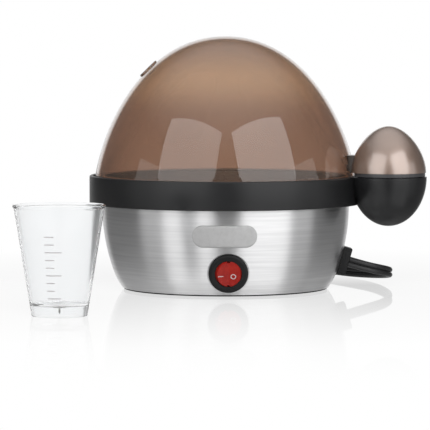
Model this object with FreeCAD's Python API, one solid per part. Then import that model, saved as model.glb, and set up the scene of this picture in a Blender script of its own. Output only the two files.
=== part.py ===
import FreeCAD, Part
import math
import os

# Countertop egg boiler: steel bowl, black band, smoky dome lid and a small egg as its handle.
# Millimetres. The origin is the bowl's axis on the table, +Z is up, +X points to the
# egg-shaped handle, and -Y to the switch. The measuring cup stands by itself at the front left.

V = FreeCAD.Vector
ORIGIN = V(0, 0, 0)
X_AXIS = V(1, 0, 0)
Y_AXIS = V(0, 1, 0)
UP = V(0, 0, 1)
FULL_TURN = 360

# Driving dimensions of the lid and of what is stacked round it
lid_r = 77.9
lid_wall = 2.6
lid_skirt_h = 12.8
lid_rise = 82.3
lid_lean_share = 0.0826
lid_shoulder_share = 0.4176
lid_crown_share = 0.5938
lid_seat_gap = 0.2
vent_share = 0.56
vent_boss_r = 6.5
vent_boss_h = 1.2
vent_hole_r = 2.0

# Black band: outer wall, channel for the lid, skirt round the bowl
band_slot = 1.6
band_wall = 2.0
band_depth = 12.2
band_shelf = 2.0
band_skirt_h = 2.7
band_skirt_wall = 1.6
band_edge_r = 0.8
band_rib_t = 1.2
band_rib_count = 24

# Steel bowl
bowl_top_z = 54.0
bowl_wall = 0.6
bowl_belly_z = 50.0
bowl_belly_curve = 114.0
bowl_heel_z = 10.7
bowl_heel_curve = 38.5
bowl_foot_z = 1.3
bowl_foot_flange = 4.9

# Steel heating pan, drawn from sheet
pan_gap = 2.0
pan_sheet = 0.6
pan_wall_h = 11.5
pan_bead_r = 0.8
pan_flange = 2.7
pan_step_h = 6.0
pan_step = 4.1
pan_well_h = 14.0
pan_draft = 2.0
pan_bend = 1.8

# Fits
fit_gap = 0.3
close_gap = 0.15
shaft_gap = 0.05
overrun = 4.0

# Bottom cover, rubber foot ring and the studs that clamp the stack
cover_lip_t = 0.8
cover_lip_inset = 0.9
cover_t = 2.2
foot_inset = 1.14
foot_w = 5.7
foot_h = 1.7
foot_proud = 0.5
stud_inset = 7.15
stud_r = 2.0
stud_count = 3
stud_first_deg = 90
nut_sides = 6
nut_flats = 7.0
nut_t = 3.2
boss_wall = 1.8
boss_h = 9.0
vent_slot_w = 2.4
vent_slot_in_r = 15.0
vent_slot_out_r = 30.0
vent_slot_count = 12

# Heater, thermostat and fuse under the pan
plate_r = 36.0
plate_t = 2.5
tube_r = 3.2
tube_inset = 9.0
tube_circle = plate_r - tube_inset
tube_gap_deg = 90
tube_tail = 4.0
bushing_r = 2.4
bushing_l = 5.0
pin_r = 1.1
pin_l = 6.0
stat_cap_r = 8.6
stat_cap_h = 4.0
stat_body_r = 7.4
stat_body_h = 7.6
stat_blade_l = 7.0
stat_blade_w = 6.3
blade_t = 0.8
clip_t = 0.8
clip_w = 8.0
clip_reach = 18.0
clip_screw_r = 1.5
clip_screw_head_r = 2.6
clip_screw_head_h = 1.6
fuse_r = 2.2
fuse_l = 22.0
fuse_x = 15.6
fuse_clip_t = 0.5
fuse_clip_w = 6.0
fuse_foot = 2.4

# Round rocker switch in its pressed flat
switch_z = 14.3
switch_tilt_deg = 12.0
land_r = 12.3
land_sink = 1.0
bezel_r = 11.5
bezel_t = 2.4
bezel_round = 1.1
switch_body_r = 10.0
switch_body_l = 15.0
switch_hole_gap = 0.1
rocker_r = 7.5
rocker_pivot = 3.6
rocker_angle_deg = 16.0
rocker_drop = 0.5
rocker_gap = 0.25
rocker_notch_w = 1.6
rocker_notch_d = 0.9
trunnion_r = 1.2
blade_w = 4.8
blade_l = 8.0
blade_pitch = 5.6
snap_t = 1.0
snap_w = 5.0

# Egg-shaped handle: bronze upper half on the lid, black lower half on the band
handle_turn_deg = -15.0
handle_reach = 17.7
egg_low_r = 22.6
egg_low_h = 28.2
egg_low_top_z = 67.3
egg_low_side_share = 0.5523
egg_low_tip_share = 0.5523
egg_up_r = 22.2
egg_up_h = 28.45
egg_up_z = 69.8
egg_neck_w = 17.0
egg_neck_h = 10.0
egg_up_side_share = 0.4593
egg_up_tip_share = 0.481
egg_wall = 2.0
collar_inset = 0.5
low_plate_t = 2.0
low_plate_sink = 1.0
spigot_t = 1.5
handle_screw_r = 1.5
handle_screw_head_r = 2.7
handle_screw_head_h = 1.3
handle_screw_l = 9.0
handle_screw_z = 61.5
handle_screw_deg = 6.5
lid_screw_z = 73.9
lid_screw_deg = 3.6
screw_boss_wall = 1.5

# Egg tray with one seat in the middle and six round it
tray_rim_gap = 0.6
tray_t = 1.6
tray_skirt_h = 4.2
tray_skirt_t = 1.4
seat_edge = 4.0
seat_web = 8.5
seat_count = 6
seat_collar_t = 1.2
seat_collar_h = 1.4
steam_hole_r = 3.2
tab_inset = 5.9
tab_w = 15.0
tab_h = 9.0
tab_t = 1.8
tab_round = 4.0
tab_deg = 30

# Cord outlet and clamp
gland_z = 17.4
gland_w = 11.0
gland_h = 16.4
gland_proud = 5.0
gland_chamfer = 1.8
gland_neck_r = 4.6
gland_neck_l = 3.4
gland_nut_r = 6.2
gland_nut_t = 2.0
clamp_inset = 6.0
clamp_w = 8.0
clamp_span = 20.0
clamp_t = 2.4
clamp_screw_r = 1.4
wire_r = 0.9
wire_bend = 2.4

# Cord, plug and coil
cord_d = 6.3
cord_arc_share = 0.45
coil_x = 26.0
coil_y = 131.0
coil_r = 39.6
coil_pitch = 8.6
coil_round_count = 3
coil_gap = 0.6
cord_lift = 0.05
plug_l = 28.0
plug_w = 35.3
plug_t = 13.7
plug_tail_w = 13.0
plug_tail_t = 9.5
plug_neck_l = 9.0
plug_corner = 4.0
prong_r = 2.0
prong_l = 19.0
prong_pitch = 18.6

# Measuring cup with the piercing pin under it
cup_x = -94.5
cup_y = -168.0
cup_rim_r = 25.0
cup_foot_r = 15.2
cup_h = 60.5
cup_wall = 1.2
cup_floor_z = 6.0
cup_bead_r = 0.9
pin_disc_r = 3.5
pin_disc_t = 1.2
needle_r = 0.6
needle_l = 3.4

# Places that follow from the sizes above
pan_r = lid_r - lid_wall - pan_gap
bowl_r = pan_r + bowl_wall
shelf_z = bowl_top_z + band_shelf
band_r = lid_r + band_slot + band_wall
band_in_r = lid_r + band_slot
band_top_z = shelf_z + band_depth
band_bottom_z = bowl_top_z - band_skirt_h
bowl_mouth_r = pan_r - pan_flange + fit_gap
shelf_in_r = pan_r - pan_flange + pan_bend / 2
lid_seat_z = shelf_z + lid_seat_gap
lid_spring_z = lid_seat_z + lid_skirt_h
pan_tray_z = shelf_z - pan_step_h
pan_floor_z = pan_tray_z - pan_well_h
plate_z = pan_floor_z - plate_t
handle_x = band_r + handle_reach
cover_z = bowl_foot_z - cover_lip_t
tray_r = pan_r - pan_sheet - pan_flange - tray_rim_gap
seat_r = (tray_r - tray_skirt_t - seat_edge - seat_web) / 3
seat_circle = seat_r + seat_r + seat_web
steam_circle = seat_circle / math.sqrt(3)
tab_circle = tray_r - tab_inset


def export(shape, name):
    """Write one node; a single solid is written bare."""
    if shape.ShapeType == "Compound" and len(shape.Solids) == 1:
        shape = shape.Solids[0]
    shape.exportStep("parts/" + name + ".step")


def group(shapes):
    """Several separate solids of one node."""
    return Part.makeCompound(list(shapes))


def cylinder(radius, height, base=ORIGIN, axis=UP):
    return Part.makeCylinder(radius, height, base, axis)


def tube(outer_r, inner_r, height, base=ORIGIN, axis=UP):
    """Ring with a bore that runs past both ends."""
    start = base - axis * overrun
    bore = cylinder(inner_r, height + overrun + overrun, start, axis)
    return cylinder(outer_r, height, base, axis).cut(bore)


def box(size_x, size_y, size_z, centre_x, centre_y, low_z):
    """Block centred in X and Y over its lowest height."""
    return Part.makeBox(size_x, size_y, size_z, V(centre_x - size_x / 2, centre_y - size_y / 2, low_z))


def turned(shape, degrees, centre=ORIGIN):
    """A copy turned about the vertical through centre."""
    copy = shape.copy()
    copy.rotate(centre, UP, degrees)
    return copy


def polar(radius, degrees, z):
    angle = math.radians(degrees)
    return V(radius * math.cos(angle), radius * math.sin(angle), z)


def spin(edges, centre=ORIGIN):
    """Closed outline in the XZ plane turned once about the vertical through centre."""
    face = Part.Face(Part.Wire(Part.__sortEdges__(edges)))
    solid = Part.makeSolid(face.revolve(centre, UP, FULL_TURN).Shells[0])
    if solid.Volume < 0:
        solid.reverse()
    return solid


def lines(points):
    """Straight edges through radius and height pairs."""
    corners = [V(r, 0, z) for r, z in points]
    return [Part.LineSegment(a, b).toShape() for a, b in zip(corners, corners[1:])]


def lathe(points):
    """Turned solid with straight edges, given its corners."""
    return spin(lines(points + points[:1]))


def arc_about(centre_r, centre_z, radius, start, end):
    """Arc in the XZ plane between two angles in radians."""
    def at(angle):
        return V(centre_r + radius * math.cos(angle), 0, centre_z + radius * math.sin(angle))
    return Part.Arc(at(start), at((start + end) / 2), at(end)).toShape()


def bent_sheet(path, thickness):
    """Edges round a sheet that follows radius, height, bend triples on its middle line."""
    points = [V(r, 0, z) for r, z, bend in path]
    bends = [bend for r, z, bend in path]
    sides = []
    for side in (1, -1):
        edges = []
        last = None
        for i, point in enumerate(points):
            back = (point - points[i - 1]).normalize() if i else (points[1] - point).normalize()
            ahead = (points[i + 1] - point).normalize() if i + 1 < len(points) else back
            left_back = V(-back.z, 0, back.x)
            left_ahead = V(-ahead.z, 0, ahead.x)
            middle = left_back + left_ahead
            reach = middle.dot(left_back)
            corner = point + middle * (side * thickness / 2 / reach)
            turn = back.x * ahead.z - back.z * ahead.x
            radius = bends[i] - side * math.copysign(thickness / 2, turn) if bends[i] else 0
            if radius > 0:
                half = math.acos(max(-1, min(1, back.dot(ahead)))) / 2
                cut = radius * math.tan(half)
                first = corner - back * cut
                final = corner + ahead * cut
                inward = (ahead - back).normalize()
                crest = corner + inward * (radius / math.cos(half) - radius)
                if last is not None:
                    edges.append(Part.LineSegment(last, first).toShape())
                edges.append(Part.Arc(first, crest, final).toShape())
                last = final
            else:
                if last is not None:
                    edges.append(Part.LineSegment(last, corner).toShape())
                last = corner
        start = edges[0].firstVertex().Point
        sides.append((edges, start, last))
    left, right = sides
    return left[0] + right[0] + [
        Part.LineSegment(left[1], right[1]).toShape(),
        Part.LineSegment(left[2], right[2]).toShape(),
    ]


def rounded_path(points, bend=None):
    """Straight runs joined by tangent arcs; without a bend each arc is as large as its runs allow."""
    edges = []
    radii = []
    last = points[0]
    for before, point, after in zip(points, points[1:], points[2:]):
        back = (point - before).normalize()
        ahead = (after - point).normalize()
        half = math.acos(max(-1, min(1, back.dot(ahead)))) / 2
        run = min((point - before).Length, (after - point).Length)
        radius = cord_arc_share * run / math.tan(half) if bend is None else bend
        radii.append(radius)
        cut = radius * math.tan(half)
        first = point - back * cut
        final = point + ahead * cut
        crest = point + (ahead - back).normalize() * (radius / math.cos(half) - radius)
        edges.append(Part.LineSegment(last, first).toShape())
        edges.append(Part.Arc(first, crest, final).toShape())
        last = final
    edges.append(Part.LineSegment(last, points[-1]).toShape())
    return edges, radii


def pipe(edges, radius):
    """Round tube along connected edges."""
    path = Part.Wire(edges)
    first = edges[0]
    start = first.valueAt(first.FirstParameter)
    heading = first.tangentAt(first.FirstParameter)
    section = Part.Wire(Part.makeCircle(radius, start, heading))
    return path.makePipeShell([section], True, False)


def bowl_profile(inset):
    """Arcs of the bowl's side from its widest height down to its foot, moved in by inset."""
    belly_centre_r = bowl_r - bowl_belly_curve
    belly_angle = math.asin((bowl_belly_z - bowl_heel_z) / bowl_belly_curve)
    step = bowl_belly_curve - bowl_heel_curve
    heel_centre_r = belly_centre_r + step * math.cos(belly_angle)
    heel_centre_z = bowl_belly_z - step * math.sin(belly_angle)
    heel_r = bowl_heel_curve - inset
    foot_z = bowl_foot_z + inset
    foot_angle = math.asin((heel_centre_z - foot_z) / heel_r)
    belly = arc_about(belly_centre_r, bowl_belly_z, bowl_belly_curve - inset, 0, -belly_angle)
    heel = arc_about(heel_centre_r, heel_centre_z, heel_r, -belly_angle, -foot_angle)
    return belly, heel, heel_centre_r + heel_r * math.cos(foot_angle)


def bowl_radius(z):
    """Outer radius of the bowl at a height above its heel."""
    drop = bowl_belly_z - z
    return bowl_r - bowl_belly_curve + math.sqrt(bowl_belly_curve ** 2 - drop ** 2)


def bowl_envelope(inset):
    """Solid inside the bowl's outer surface, moved in by inset."""
    belly, heel, foot = bowl_profile(inset)
    top_r = bowl_r - inset
    edges = lines([(0, bowl_top_z), (top_r, bowl_top_z), (top_r, bowl_belly_z)])
    edges += [belly, heel]
    edges += lines([(foot, bowl_foot_z + inset), (0, bowl_foot_z + inset), (0, bowl_top_z)])
    return spin(edges)


foot_edge_r = bowl_profile(0)[2]
foot_opening_r = foot_edge_r - bowl_foot_flange
foot_r = foot_opening_r - foot_inset - foot_w / 2
stud_circle = foot_r - foot_w / 2 - stud_inset
clamp_x = foot_r - clamp_inset


def switch_frame():
    """Centre of the pressed flat, its outward normal and its upward direction."""
    tilt = math.radians(switch_tilt_deg)
    outward = V(0, -math.cos(tilt), -math.sin(tilt))
    upward = V(0, -math.sin(tilt), math.cos(tilt))
    centre = V(0, -bowl_radius(switch_z), switch_z) - outward * land_sink
    return centre, outward, upward


def gland_frame():
    """Point on the bowl's wall, outward normal and upward direction of the cord outlet."""
    lean = math.asin((bowl_belly_z - gland_z) / bowl_belly_curve)
    outward = V(math.cos(lean), 0, -math.sin(lean))
    upward = V(math.sin(lean), 0, math.cos(lean))
    return V(bowl_radius(gland_z), 0, gland_z), outward, upward


def outer_bowl():
    """Steel bowl with turned-in edges, the flat pressed for the switch and the cord hole."""
    shell = bowl_envelope(0).cut(bowl_envelope(bowl_wall))
    lowest = bowl_foot_z - overrun
    shell = shell.cut(cylinder(foot_opening_r, bowl_wall + overrun + overrun, V(0, 0, lowest)))
    flange = tube(bowl_r, bowl_mouth_r, bowl_wall, V(0, 0, bowl_top_z - bowl_wall))
    shell = shell.fuse(flange)
    centre, outward, upward = switch_frame()
    length = land_r
    plug = cylinder(land_r, length + length, centre - outward * length, outward)
    shell = shell.cut(plug)
    collar = tube(land_r, land_r - bowl_wall, length + length, centre - outward * length, outward)
    ahead = cylinder(land_r + overrun, length, centre, outward)
    behind = cylinder(land_r + overrun, length, centre - outward * length, outward)
    recess = collar.common(ahead).common(bowl_envelope(0))
    bulge = collar.common(behind).cut(bowl_envelope(bowl_wall))
    land = cylinder(land_r, bowl_wall, centre - outward * bowl_wall, outward)
    shell = shell.fuse([recess, bulge, land])
    hole_r = switch_body_r + switch_hole_gap
    shell = shell.cut(cylinder(hole_r, length + length, centre - outward * length, outward))
    wall, way_out, rise = gland_frame()
    neck_hole_r = gland_neck_r + fit_gap
    cord_hole = cylinder(neck_hole_r, overrun + overrun, wall - way_out * overrun, way_out)
    return shell.cut(cord_hole).removeSplitter()


def ring_band():
    """Black band: rounded outer wall, shelf under the lid, skirt round the bowl, ribs below."""
    skirt_in_r = bowl_r + close_gap
    skirt_r = skirt_in_r + band_skirt_wall
    section = lathe([
        (band_in_r, band_top_z), (band_r, band_top_z), (band_r, band_bottom_z),
        (band_in_r, band_bottom_z), (band_in_r, bowl_top_z), (skirt_r, bowl_top_z),
        (skirt_r, band_bottom_z), (skirt_in_r, band_bottom_z), (skirt_in_r, bowl_top_z),
        (shelf_in_r, bowl_top_z), (shelf_in_r, shelf_z), (band_in_r, shelf_z),
    ])
    outer_edges = [
        e for e in section.Edges
        if e.Curve.TypeId == "Part::GeomCircle" and abs(e.Curve.Radius - band_r) < close_gap
    ]
    band = section.makeFillet(band_edge_r, outer_edges)
    rib_l = band_in_r - skirt_r
    ribs = []
    for i in range(band_rib_count):
        rib = box(rib_l + close_gap + close_gap, band_rib_t, band_skirt_h - band_edge_r,
                  skirt_r + rib_l / 2, 0, band_bottom_z + band_edge_r)
        ribs.append(turned(rib, FULL_TURN * (i + 0.5) / band_rib_count))
    band = band.fuse(ribs)
    for side in (-1, 1):
        way = screw_way(band_in_r, handle_screw_z)
        band = band.cut(turned(way, handle_turn_deg + side * handle_screw_deg))
    return band.removeSplitter()


def screw_way(wall_r, z):
    """Countersunk screw hole that runs outwards along +X from a wall's inner radius."""
    start = V(wall_r - fit_gap, 0, z)
    shank = cylinder(handle_screw_r + close_gap, band_wall + overrun, start, X_AXIS)
    head = Part.makeCone(handle_screw_head_r + close_gap + fit_gap, handle_screw_r + close_gap,
                         handle_screw_head_h + fit_gap, start, X_AXIS)
    return shank.fuse(head)


def screw(wall_r, z, length):
    """Countersunk screw along +X whose head lies flush in the wall."""
    start = V(wall_r + close_gap, 0, z)
    head = Part.makeCone(handle_screw_head_r, handle_screw_r, handle_screw_head_h, start, X_AXIS)
    slot = box(handle_screw_head_h, handle_screw_r / 2, handle_screw_head_r * 2,
               wall_r, 0, z - handle_screw_head_r)
    return cylinder(handle_screw_r, length, start, X_AXIS).fuse(head).cut(slot)


def heating_pan():
    """Pan of drawn sheet: rim bead, wall, flange on the band, tray step, well and floor."""
    half = pan_sheet / 2
    wall_r = pan_r - half
    flange_r = wall_r - pan_flange
    step_r = flange_r - pan_step
    floor_r = step_r - pan_draft
    rim_z = shelf_z + pan_wall_h
    path = [
        (wall_r, rim_z, 0), (wall_r, shelf_z + half, pan_bend / 2),
        (flange_r, shelf_z + half, pan_bend / 2), (flange_r, pan_tray_z + half, pan_bend / 2),
        (step_r, pan_tray_z + half, pan_bend / 2), (floor_r, pan_floor_z + half, pan_bend),
        (0, pan_floor_z + half, 0),
    ]
    edges = bent_sheet(path, pan_sheet)
    bead = Part.makeTorus(wall_r, pan_bead_r, V(0, 0, rim_z))
    return spin(edges).fuse(bead)


def heater_plate():
    """Aluminium spreader pressed to the pan's floor."""
    plate = cylinder(plate_r, plate_t, V(0, 0, plate_z))
    rims = [e for e in plate.Edges if e.Curve.TypeId == "Part::GeomCircle"]
    lower = min(rims, key=lambda e: e.Curve.Center.z)
    return plate.makeChamfer(plate_t / 5, [lower])


def element_ends():
    """Both ends of the heater tube with the directions in which they leave."""
    z = plate_z - tube_r
    half_gap = tube_gap_deg / 2
    right = polar(tube_circle, -90 + half_gap, z)
    left = polar(tube_circle, -90 - half_gap, z)
    right_way = polar(1, -180 + half_gap, 0)
    left_way = polar(1, -half_gap, 0)
    return (right, right_way), (left, left_way)


def heating_element():
    """Heater tube bent to a C with straight ends."""
    (right, right_way), (left, left_way) = element_ends()
    far = polar(tube_circle, 90, plate_z - tube_r)
    edges = [
        Part.LineSegment(right + right_way * tube_tail, right).toShape(),
        Part.Arc(right, far, left).toShape(),
        Part.LineSegment(left, left + left_way * tube_tail).toShape(),
    ]
    return pipe(edges, tube_r)


def heater_terminals():
    """Ceramic bushing and pin on each end of the heater tube."""
    solids = []
    for end, way in element_ends():
        face = end + way * tube_tail
        solids.append(cylinder(bushing_r, bushing_l, face, way))
        solids.append(cylinder(pin_r, pin_l, face + way * bushing_l, way))
    return group(solids)


def thermostat():
    """Snap-disc thermostat: metal cap against the plate, body and two bent blades."""
    cap = cylinder(stat_cap_r, stat_cap_h, V(0, 0, plate_z - stat_cap_h))
    body_z = plate_z - stat_cap_h - stat_body_h
    body = cylinder(stat_body_r, stat_body_h, V(0, 0, body_z))
    blade_length = stat_body_r + stat_blade_l
    blades = [
        box(blade_length, stat_blade_w, blade_t, side * blade_length / 2, 0, body_z + blade_t)
        for side in (-1, 1)
    ]
    return cap.fuse([body] + blades)


def thermostat_clip():
    """Spring strap under the thermostat's cap with its two feet on the plate."""
    low = plate_z - stat_cap_h - clip_t
    strap_l = 2 * (stat_cap_r + clip_t + clip_t)
    strap = box(clip_w, strap_l, clip_t, 0, 0, low)
    strap = strap.fuse(cylinder(stat_cap_r, clip_t, V(0, 0, low)))
    pieces = []
    for side in (-1, 1):
        leg_y = side * (strap_l / 2 - clip_t / 2)
        pieces.append(box(clip_w, clip_t, plate_z - low, 0, leg_y, low))
        foot_l = clip_reach - strap_l / 2 + clip_t
        foot_y = side * (clip_reach - foot_l / 2)
        pieces.append(box(clip_w, foot_l, clip_t, 0, foot_y, plate_z - clip_t))
    bore = cylinder(stat_body_r + close_gap, stat_cap_h + clip_t + overrun, V(0, 0, low - overrun))
    bore = bore.cut(cylinder(stat_cap_r, stat_cap_h, V(0, 0, plate_z - stat_cap_h)))
    clip = strap.fuse(pieces).cut(bore)
    for side in (-1, 1):
        spot = V(0, side * clip_screw_y(), plate_z - clip_t - overrun)
        clip = clip.cut(cylinder(clip_screw_r + shaft_gap, overrun + overrun, spot))
    return clip


def clip_screw_y():
    return clip_reach - clip_screw_head_r


def thermostat_screws():
    """Two screws that hold the strap; each ends inside the plate in its own hole."""
    solids = []
    for side in (-1, 1):
        y = side * clip_screw_y()
        head_z = plate_z - clip_t - clip_screw_head_h
        head = cylinder(clip_screw_head_r, clip_screw_head_h, V(0, y, head_z))
        shank = cylinder(clip_screw_r, clip_screw_head_h + clip_t, V(0, y, head_z))
        solids.append(head.fuse(shank))
    return group(solids)


def thermal_fuse():
    """Fuse in its sleeve against the plate, with a thin lead at each end."""
    z = plate_z - fuse_r
    start = V(fuse_x, -fuse_l / 2, z)
    sleeve = cylinder(fuse_r, fuse_l, start, Y_AXIS)
    lead_l = fuse_r
    lead = cylinder(wire_r / 2, fuse_l + 2 * lead_l, V(fuse_x, -fuse_l / 2 - lead_l, z), Y_AXIS)
    return sleeve.fuse(lead)


def fuse_clip():
    """Thin saddle over the fuse with a foot on each side."""
    z = plate_z - fuse_r
    outer = fuse_r + shaft_gap + fuse_clip_t
    start = V(fuse_x, -fuse_clip_w / 2, z)
    saddle = cylinder(outer, fuse_clip_w, start, Y_AXIS)
    saddle = saddle.fuse(box(2 * outer, fuse_clip_w, fuse_r, fuse_x, 0, z))
    feet = box(2 * (outer + fuse_foot), fuse_clip_w, fuse_clip_t, fuse_x, 0, plate_z - fuse_clip_t)
    saddle = saddle.fuse(feet)
    bore = cylinder(fuse_r + shaft_gap, fuse_clip_w, start, Y_AXIS)
    bore = bore.fuse(box(2 * (fuse_r + shaft_gap), fuse_clip_w, fuse_r, fuse_x, 0, z))
    above = box(clip_reach, clip_reach, fuse_r, fuse_x, 0, plate_z)
    return saddle.cut(bore).cut(above)


def stud_places(z):
    turns = [stud_first_deg + FULL_TURN * i / stud_count for i in range(stud_count)]
    return [polar(stud_circle, turn, z) for turn in turns]


def nut_corner_r():
    return nut_flats / 2 / math.cos(math.pi / nut_sides)


def base_cover():
    """Bottom cover: lip under the bowl's edge, groove for the foot, bosses, vents and post."""
    spigot_r = foot_opening_r - fit_gap
    lip_r = foot_edge_r - cover_lip_inset
    cover = lathe([
        (0, cover_z), (lip_r, cover_z), (lip_r, bowl_foot_z), (spigot_r, bowl_foot_z),
        (spigot_r, cover_z + cover_t), (0, cover_z + cover_t),
    ])
    ceiling_z = stud_seat_z()
    boss_r = nut_corner_r() + close_gap + boss_wall
    bosses = [cylinder(boss_r, boss_h, V(p.x, p.y, cover_z)) for p in stud_places(0)]
    cover = cover.fuse(bosses)
    cover = cover.cut(tube(foot_r + foot_w / 2 + close_gap, foot_r - foot_w / 2 - close_gap,
                           foot_h - foot_proud, V(0, 0, cover_z)))
    for p in stud_places(0):
        pocket = cylinder(nut_corner_r() + close_gap, ceiling_z - cover_z, V(p.x, p.y, cover_z))
        bore = cylinder(stud_r + fit_gap, boss_h + overrun, V(p.x, p.y, cover_z))
        cover = cover.cut(pocket).cut(bore)
    slot_l = vent_slot_out_r - vent_slot_in_r
    for i in range(vent_slot_count):
        slot = box(slot_l, vent_slot_w, cover_t + overrun,
                   vent_slot_in_r + slot_l / 2, 0, cover_z - overrun / 2)
        cover = cover.cut(turned(slot, FULL_TURN * i / vent_slot_count))
    return cover.fuse(clamp_post()).removeSplitter()


def stud_seat_z():
    """Height of the pocket ceiling that each nut bears on."""
    return cover_z + nut_t + foot_proud


def foot_ring():
    """Rubber ring set in the cover; the boiler stands on it."""
    return tube(foot_r + foot_w / 2, foot_r - foot_w / 2, foot_h)


def pan_studs():
    """Studs welded under the pan that run down to the cover."""
    low = stud_seat_z() - nut_t
    return group(cylinder(stud_r, pan_floor_z - low, p) for p in stud_places(low))


def stud_nuts():
    """Hexagon nuts in the cover's pockets."""
    solids = []
    for p in stud_places(stud_seat_z() - nut_t):
        corners = [p + polar(nut_corner_r(), FULL_TURN * i / nut_sides, 0) for i in range(nut_sides + 1)]
        prism = Part.Face(Part.makePolygon(corners)).extrude(UP * nut_t)
        solids.append(prism.cut(cylinder(stud_r + shaft_gap, nut_t + overrun, p - UP * overrun / 2)))
    return group(solids)


def rocker_sphere(extra):
    """Ball about the rocker's pivot that its round side follows."""
    centre, outward, upward = switch_frame()
    pivot = centre + outward * (bezel_t - rocker_drop - rocker_pivot)
    radius = math.hypot(rocker_r, rocker_pivot)
    return Part.makeSphere(radius + extra, pivot), pivot, radius


def switch_bezel():
    """Bezel and body in one moulding, with the rocker's cavity, snap tabs and marker tabs."""
    centre, outward, upward = switch_frame()
    flange = cylinder(bezel_r, bezel_t, centre, outward)
    rims = [e for e in flange.Edges if e.Curve.TypeId == "Part::GeomCircle"]
    front = max(rims, key=lambda e: e.Curve.Center.dot(outward))
    flange = flange.makeFillet(bezel_round, [front])
    body = cylinder(switch_body_r, switch_body_l + bezel_t / 2, centre - outward * switch_body_l, outward)
    ball, pivot, radius = rocker_sphere(rocker_gap)
    shaft = cylinder(trunnion_r + shaft_gap, 2 * switch_body_r, pivot - upward * switch_body_r, upward)
    mouth_base = centre + outward * (bezel_t - rocker_drop)
    mouth = Part.makeCone(rocker_r + rocker_gap, rocker_r + rocker_gap + rocker_drop + rocker_drop,
                          rocker_drop, mouth_base, outward)
    floor = cylinder(radius, radius / 2, pivot - outward * radius, outward)
    housing = flange.fuse(body).cut(ball).cut(shaft).cut(mouth).cut(floor)
    snaps = []
    for side in (-1, 1):
        snap = box(snap_t + snap_t, snap_w, snap_w, side * switch_body_r, 0, 0)
        snap.Placement = local_place(centre - outward * (bowl_wall + fit_gap + snap_w), outward, upward)
        snaps.append(snap.cut(ball))
    return housing.fuse(snaps).removeSplitter()


def local_place(base, outward, upward):
    """Placement whose local X is to the viewer's right, Y up the panel and Z outwards."""
    right = upward.cross(outward)
    matrix = FreeCAD.Matrix(
        right.x, upward.x, outward.x, base.x,
        right.y, upward.y, outward.y, base.y,
        right.z, upward.z, outward.z, base.z,
        0, 0, 0, 1,
    )
    return FreeCAD.Placement(matrix)


def switch_rocker():
    """Rocker in the off position: right face level, left face raised, side on a ball."""
    centre, outward, upward = switch_frame()
    ball, pivot, radius = rocker_sphere(0)
    rise = rocker_r * math.tan(math.radians(rocker_angle_deg))
    depth = rocker_pivot + trunnion_r + trunnion_r
    outline = [
        V(-rocker_r - overrun, 0, rise * (rocker_r + overrun) / rocker_r), V(0, 0, 0),
        V(rocker_r + overrun, 0, 0), V(rocker_r + overrun, 0, -depth),
        V(-rocker_r - overrun, 0, -depth),
    ]
    prism = Part.Face(Part.makePolygon(outline + outline[:1])).extrude(Y_AXIS * 4 * rocker_r)
    prism.translate(V(0, -2 * rocker_r, 0))
    notch_y = math.sqrt(radius ** 2 - rocker_pivot ** 2) - rocker_notch_d
    for side in (-1, 1):
        notch = box(rocker_notch_w, rocker_notch_d + overrun, depth,
                    0, side * (notch_y + (rocker_notch_d + overrun) / 2), -rocker_notch_w)
        prism = prism.cut(notch)
    prism.Placement = local_place(centre + outward * (bezel_t - rocker_drop), outward, upward)
    half = switch_body_r - fit_gap
    shaft = cylinder(trunnion_r, half + half, pivot - upward * half, upward)
    return prism.common(ball).fuse(shaft).removeSplitter()


def switch_terminals():
    """Three blades behind the switch."""
    centre, outward, upward = switch_frame()
    solids = []
    for i in (-1, 0, 1):
        blade = box(blade_t, blade_w, blade_l, i * blade_pitch, 0, 0)
        blade.Placement = local_place(centre - outward * (switch_body_l + blade_l), outward, upward)
        solids.append(blade)
    return group(solids)


def dome_curve(inset):
    """Curve of the lid from the top of its skirt to its crown, moved in by inset."""
    rim_r = lid_r - inset
    rise = lid_rise - inset
    curve = Part.BezierCurve()
    curve.setPoles([
        V(rim_r, 0, lid_spring_z),
        V(rim_r * (1 - lid_lean_share), 0, lid_spring_z + rise * lid_shoulder_share),
        V(rim_r * lid_crown_share, 0, lid_spring_z + rise),
        V(0, 0, lid_spring_z + rise),
    ])
    return curve


def lid_solid(inset, floor_z):
    """Solid inside the lid's outer surface, moved in by inset, down to a height."""
    rim_r = lid_r - inset
    top_z = lid_spring_z + lid_rise - inset
    edges = lines([(0, top_z), (0, floor_z), (rim_r, floor_z), (rim_r, lid_spring_z)])
    return spin(edges + [dome_curve(inset).toShape()])


def lid_shell():
    """The lid's wall alone, without its boss and holes."""
    return lid_solid(0, lid_seat_z).cut(lid_solid(lid_wall, lid_seat_z - overrun))


def vent_place():
    """Middle of the vent boss on the lid's outside, and the direction in which it points."""
    curve = dome_curve(0)
    along = curve.tangent(vent_share)[0]
    return curve.value(vent_share), V(along.z, 0, -along.x).normalize()


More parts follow.
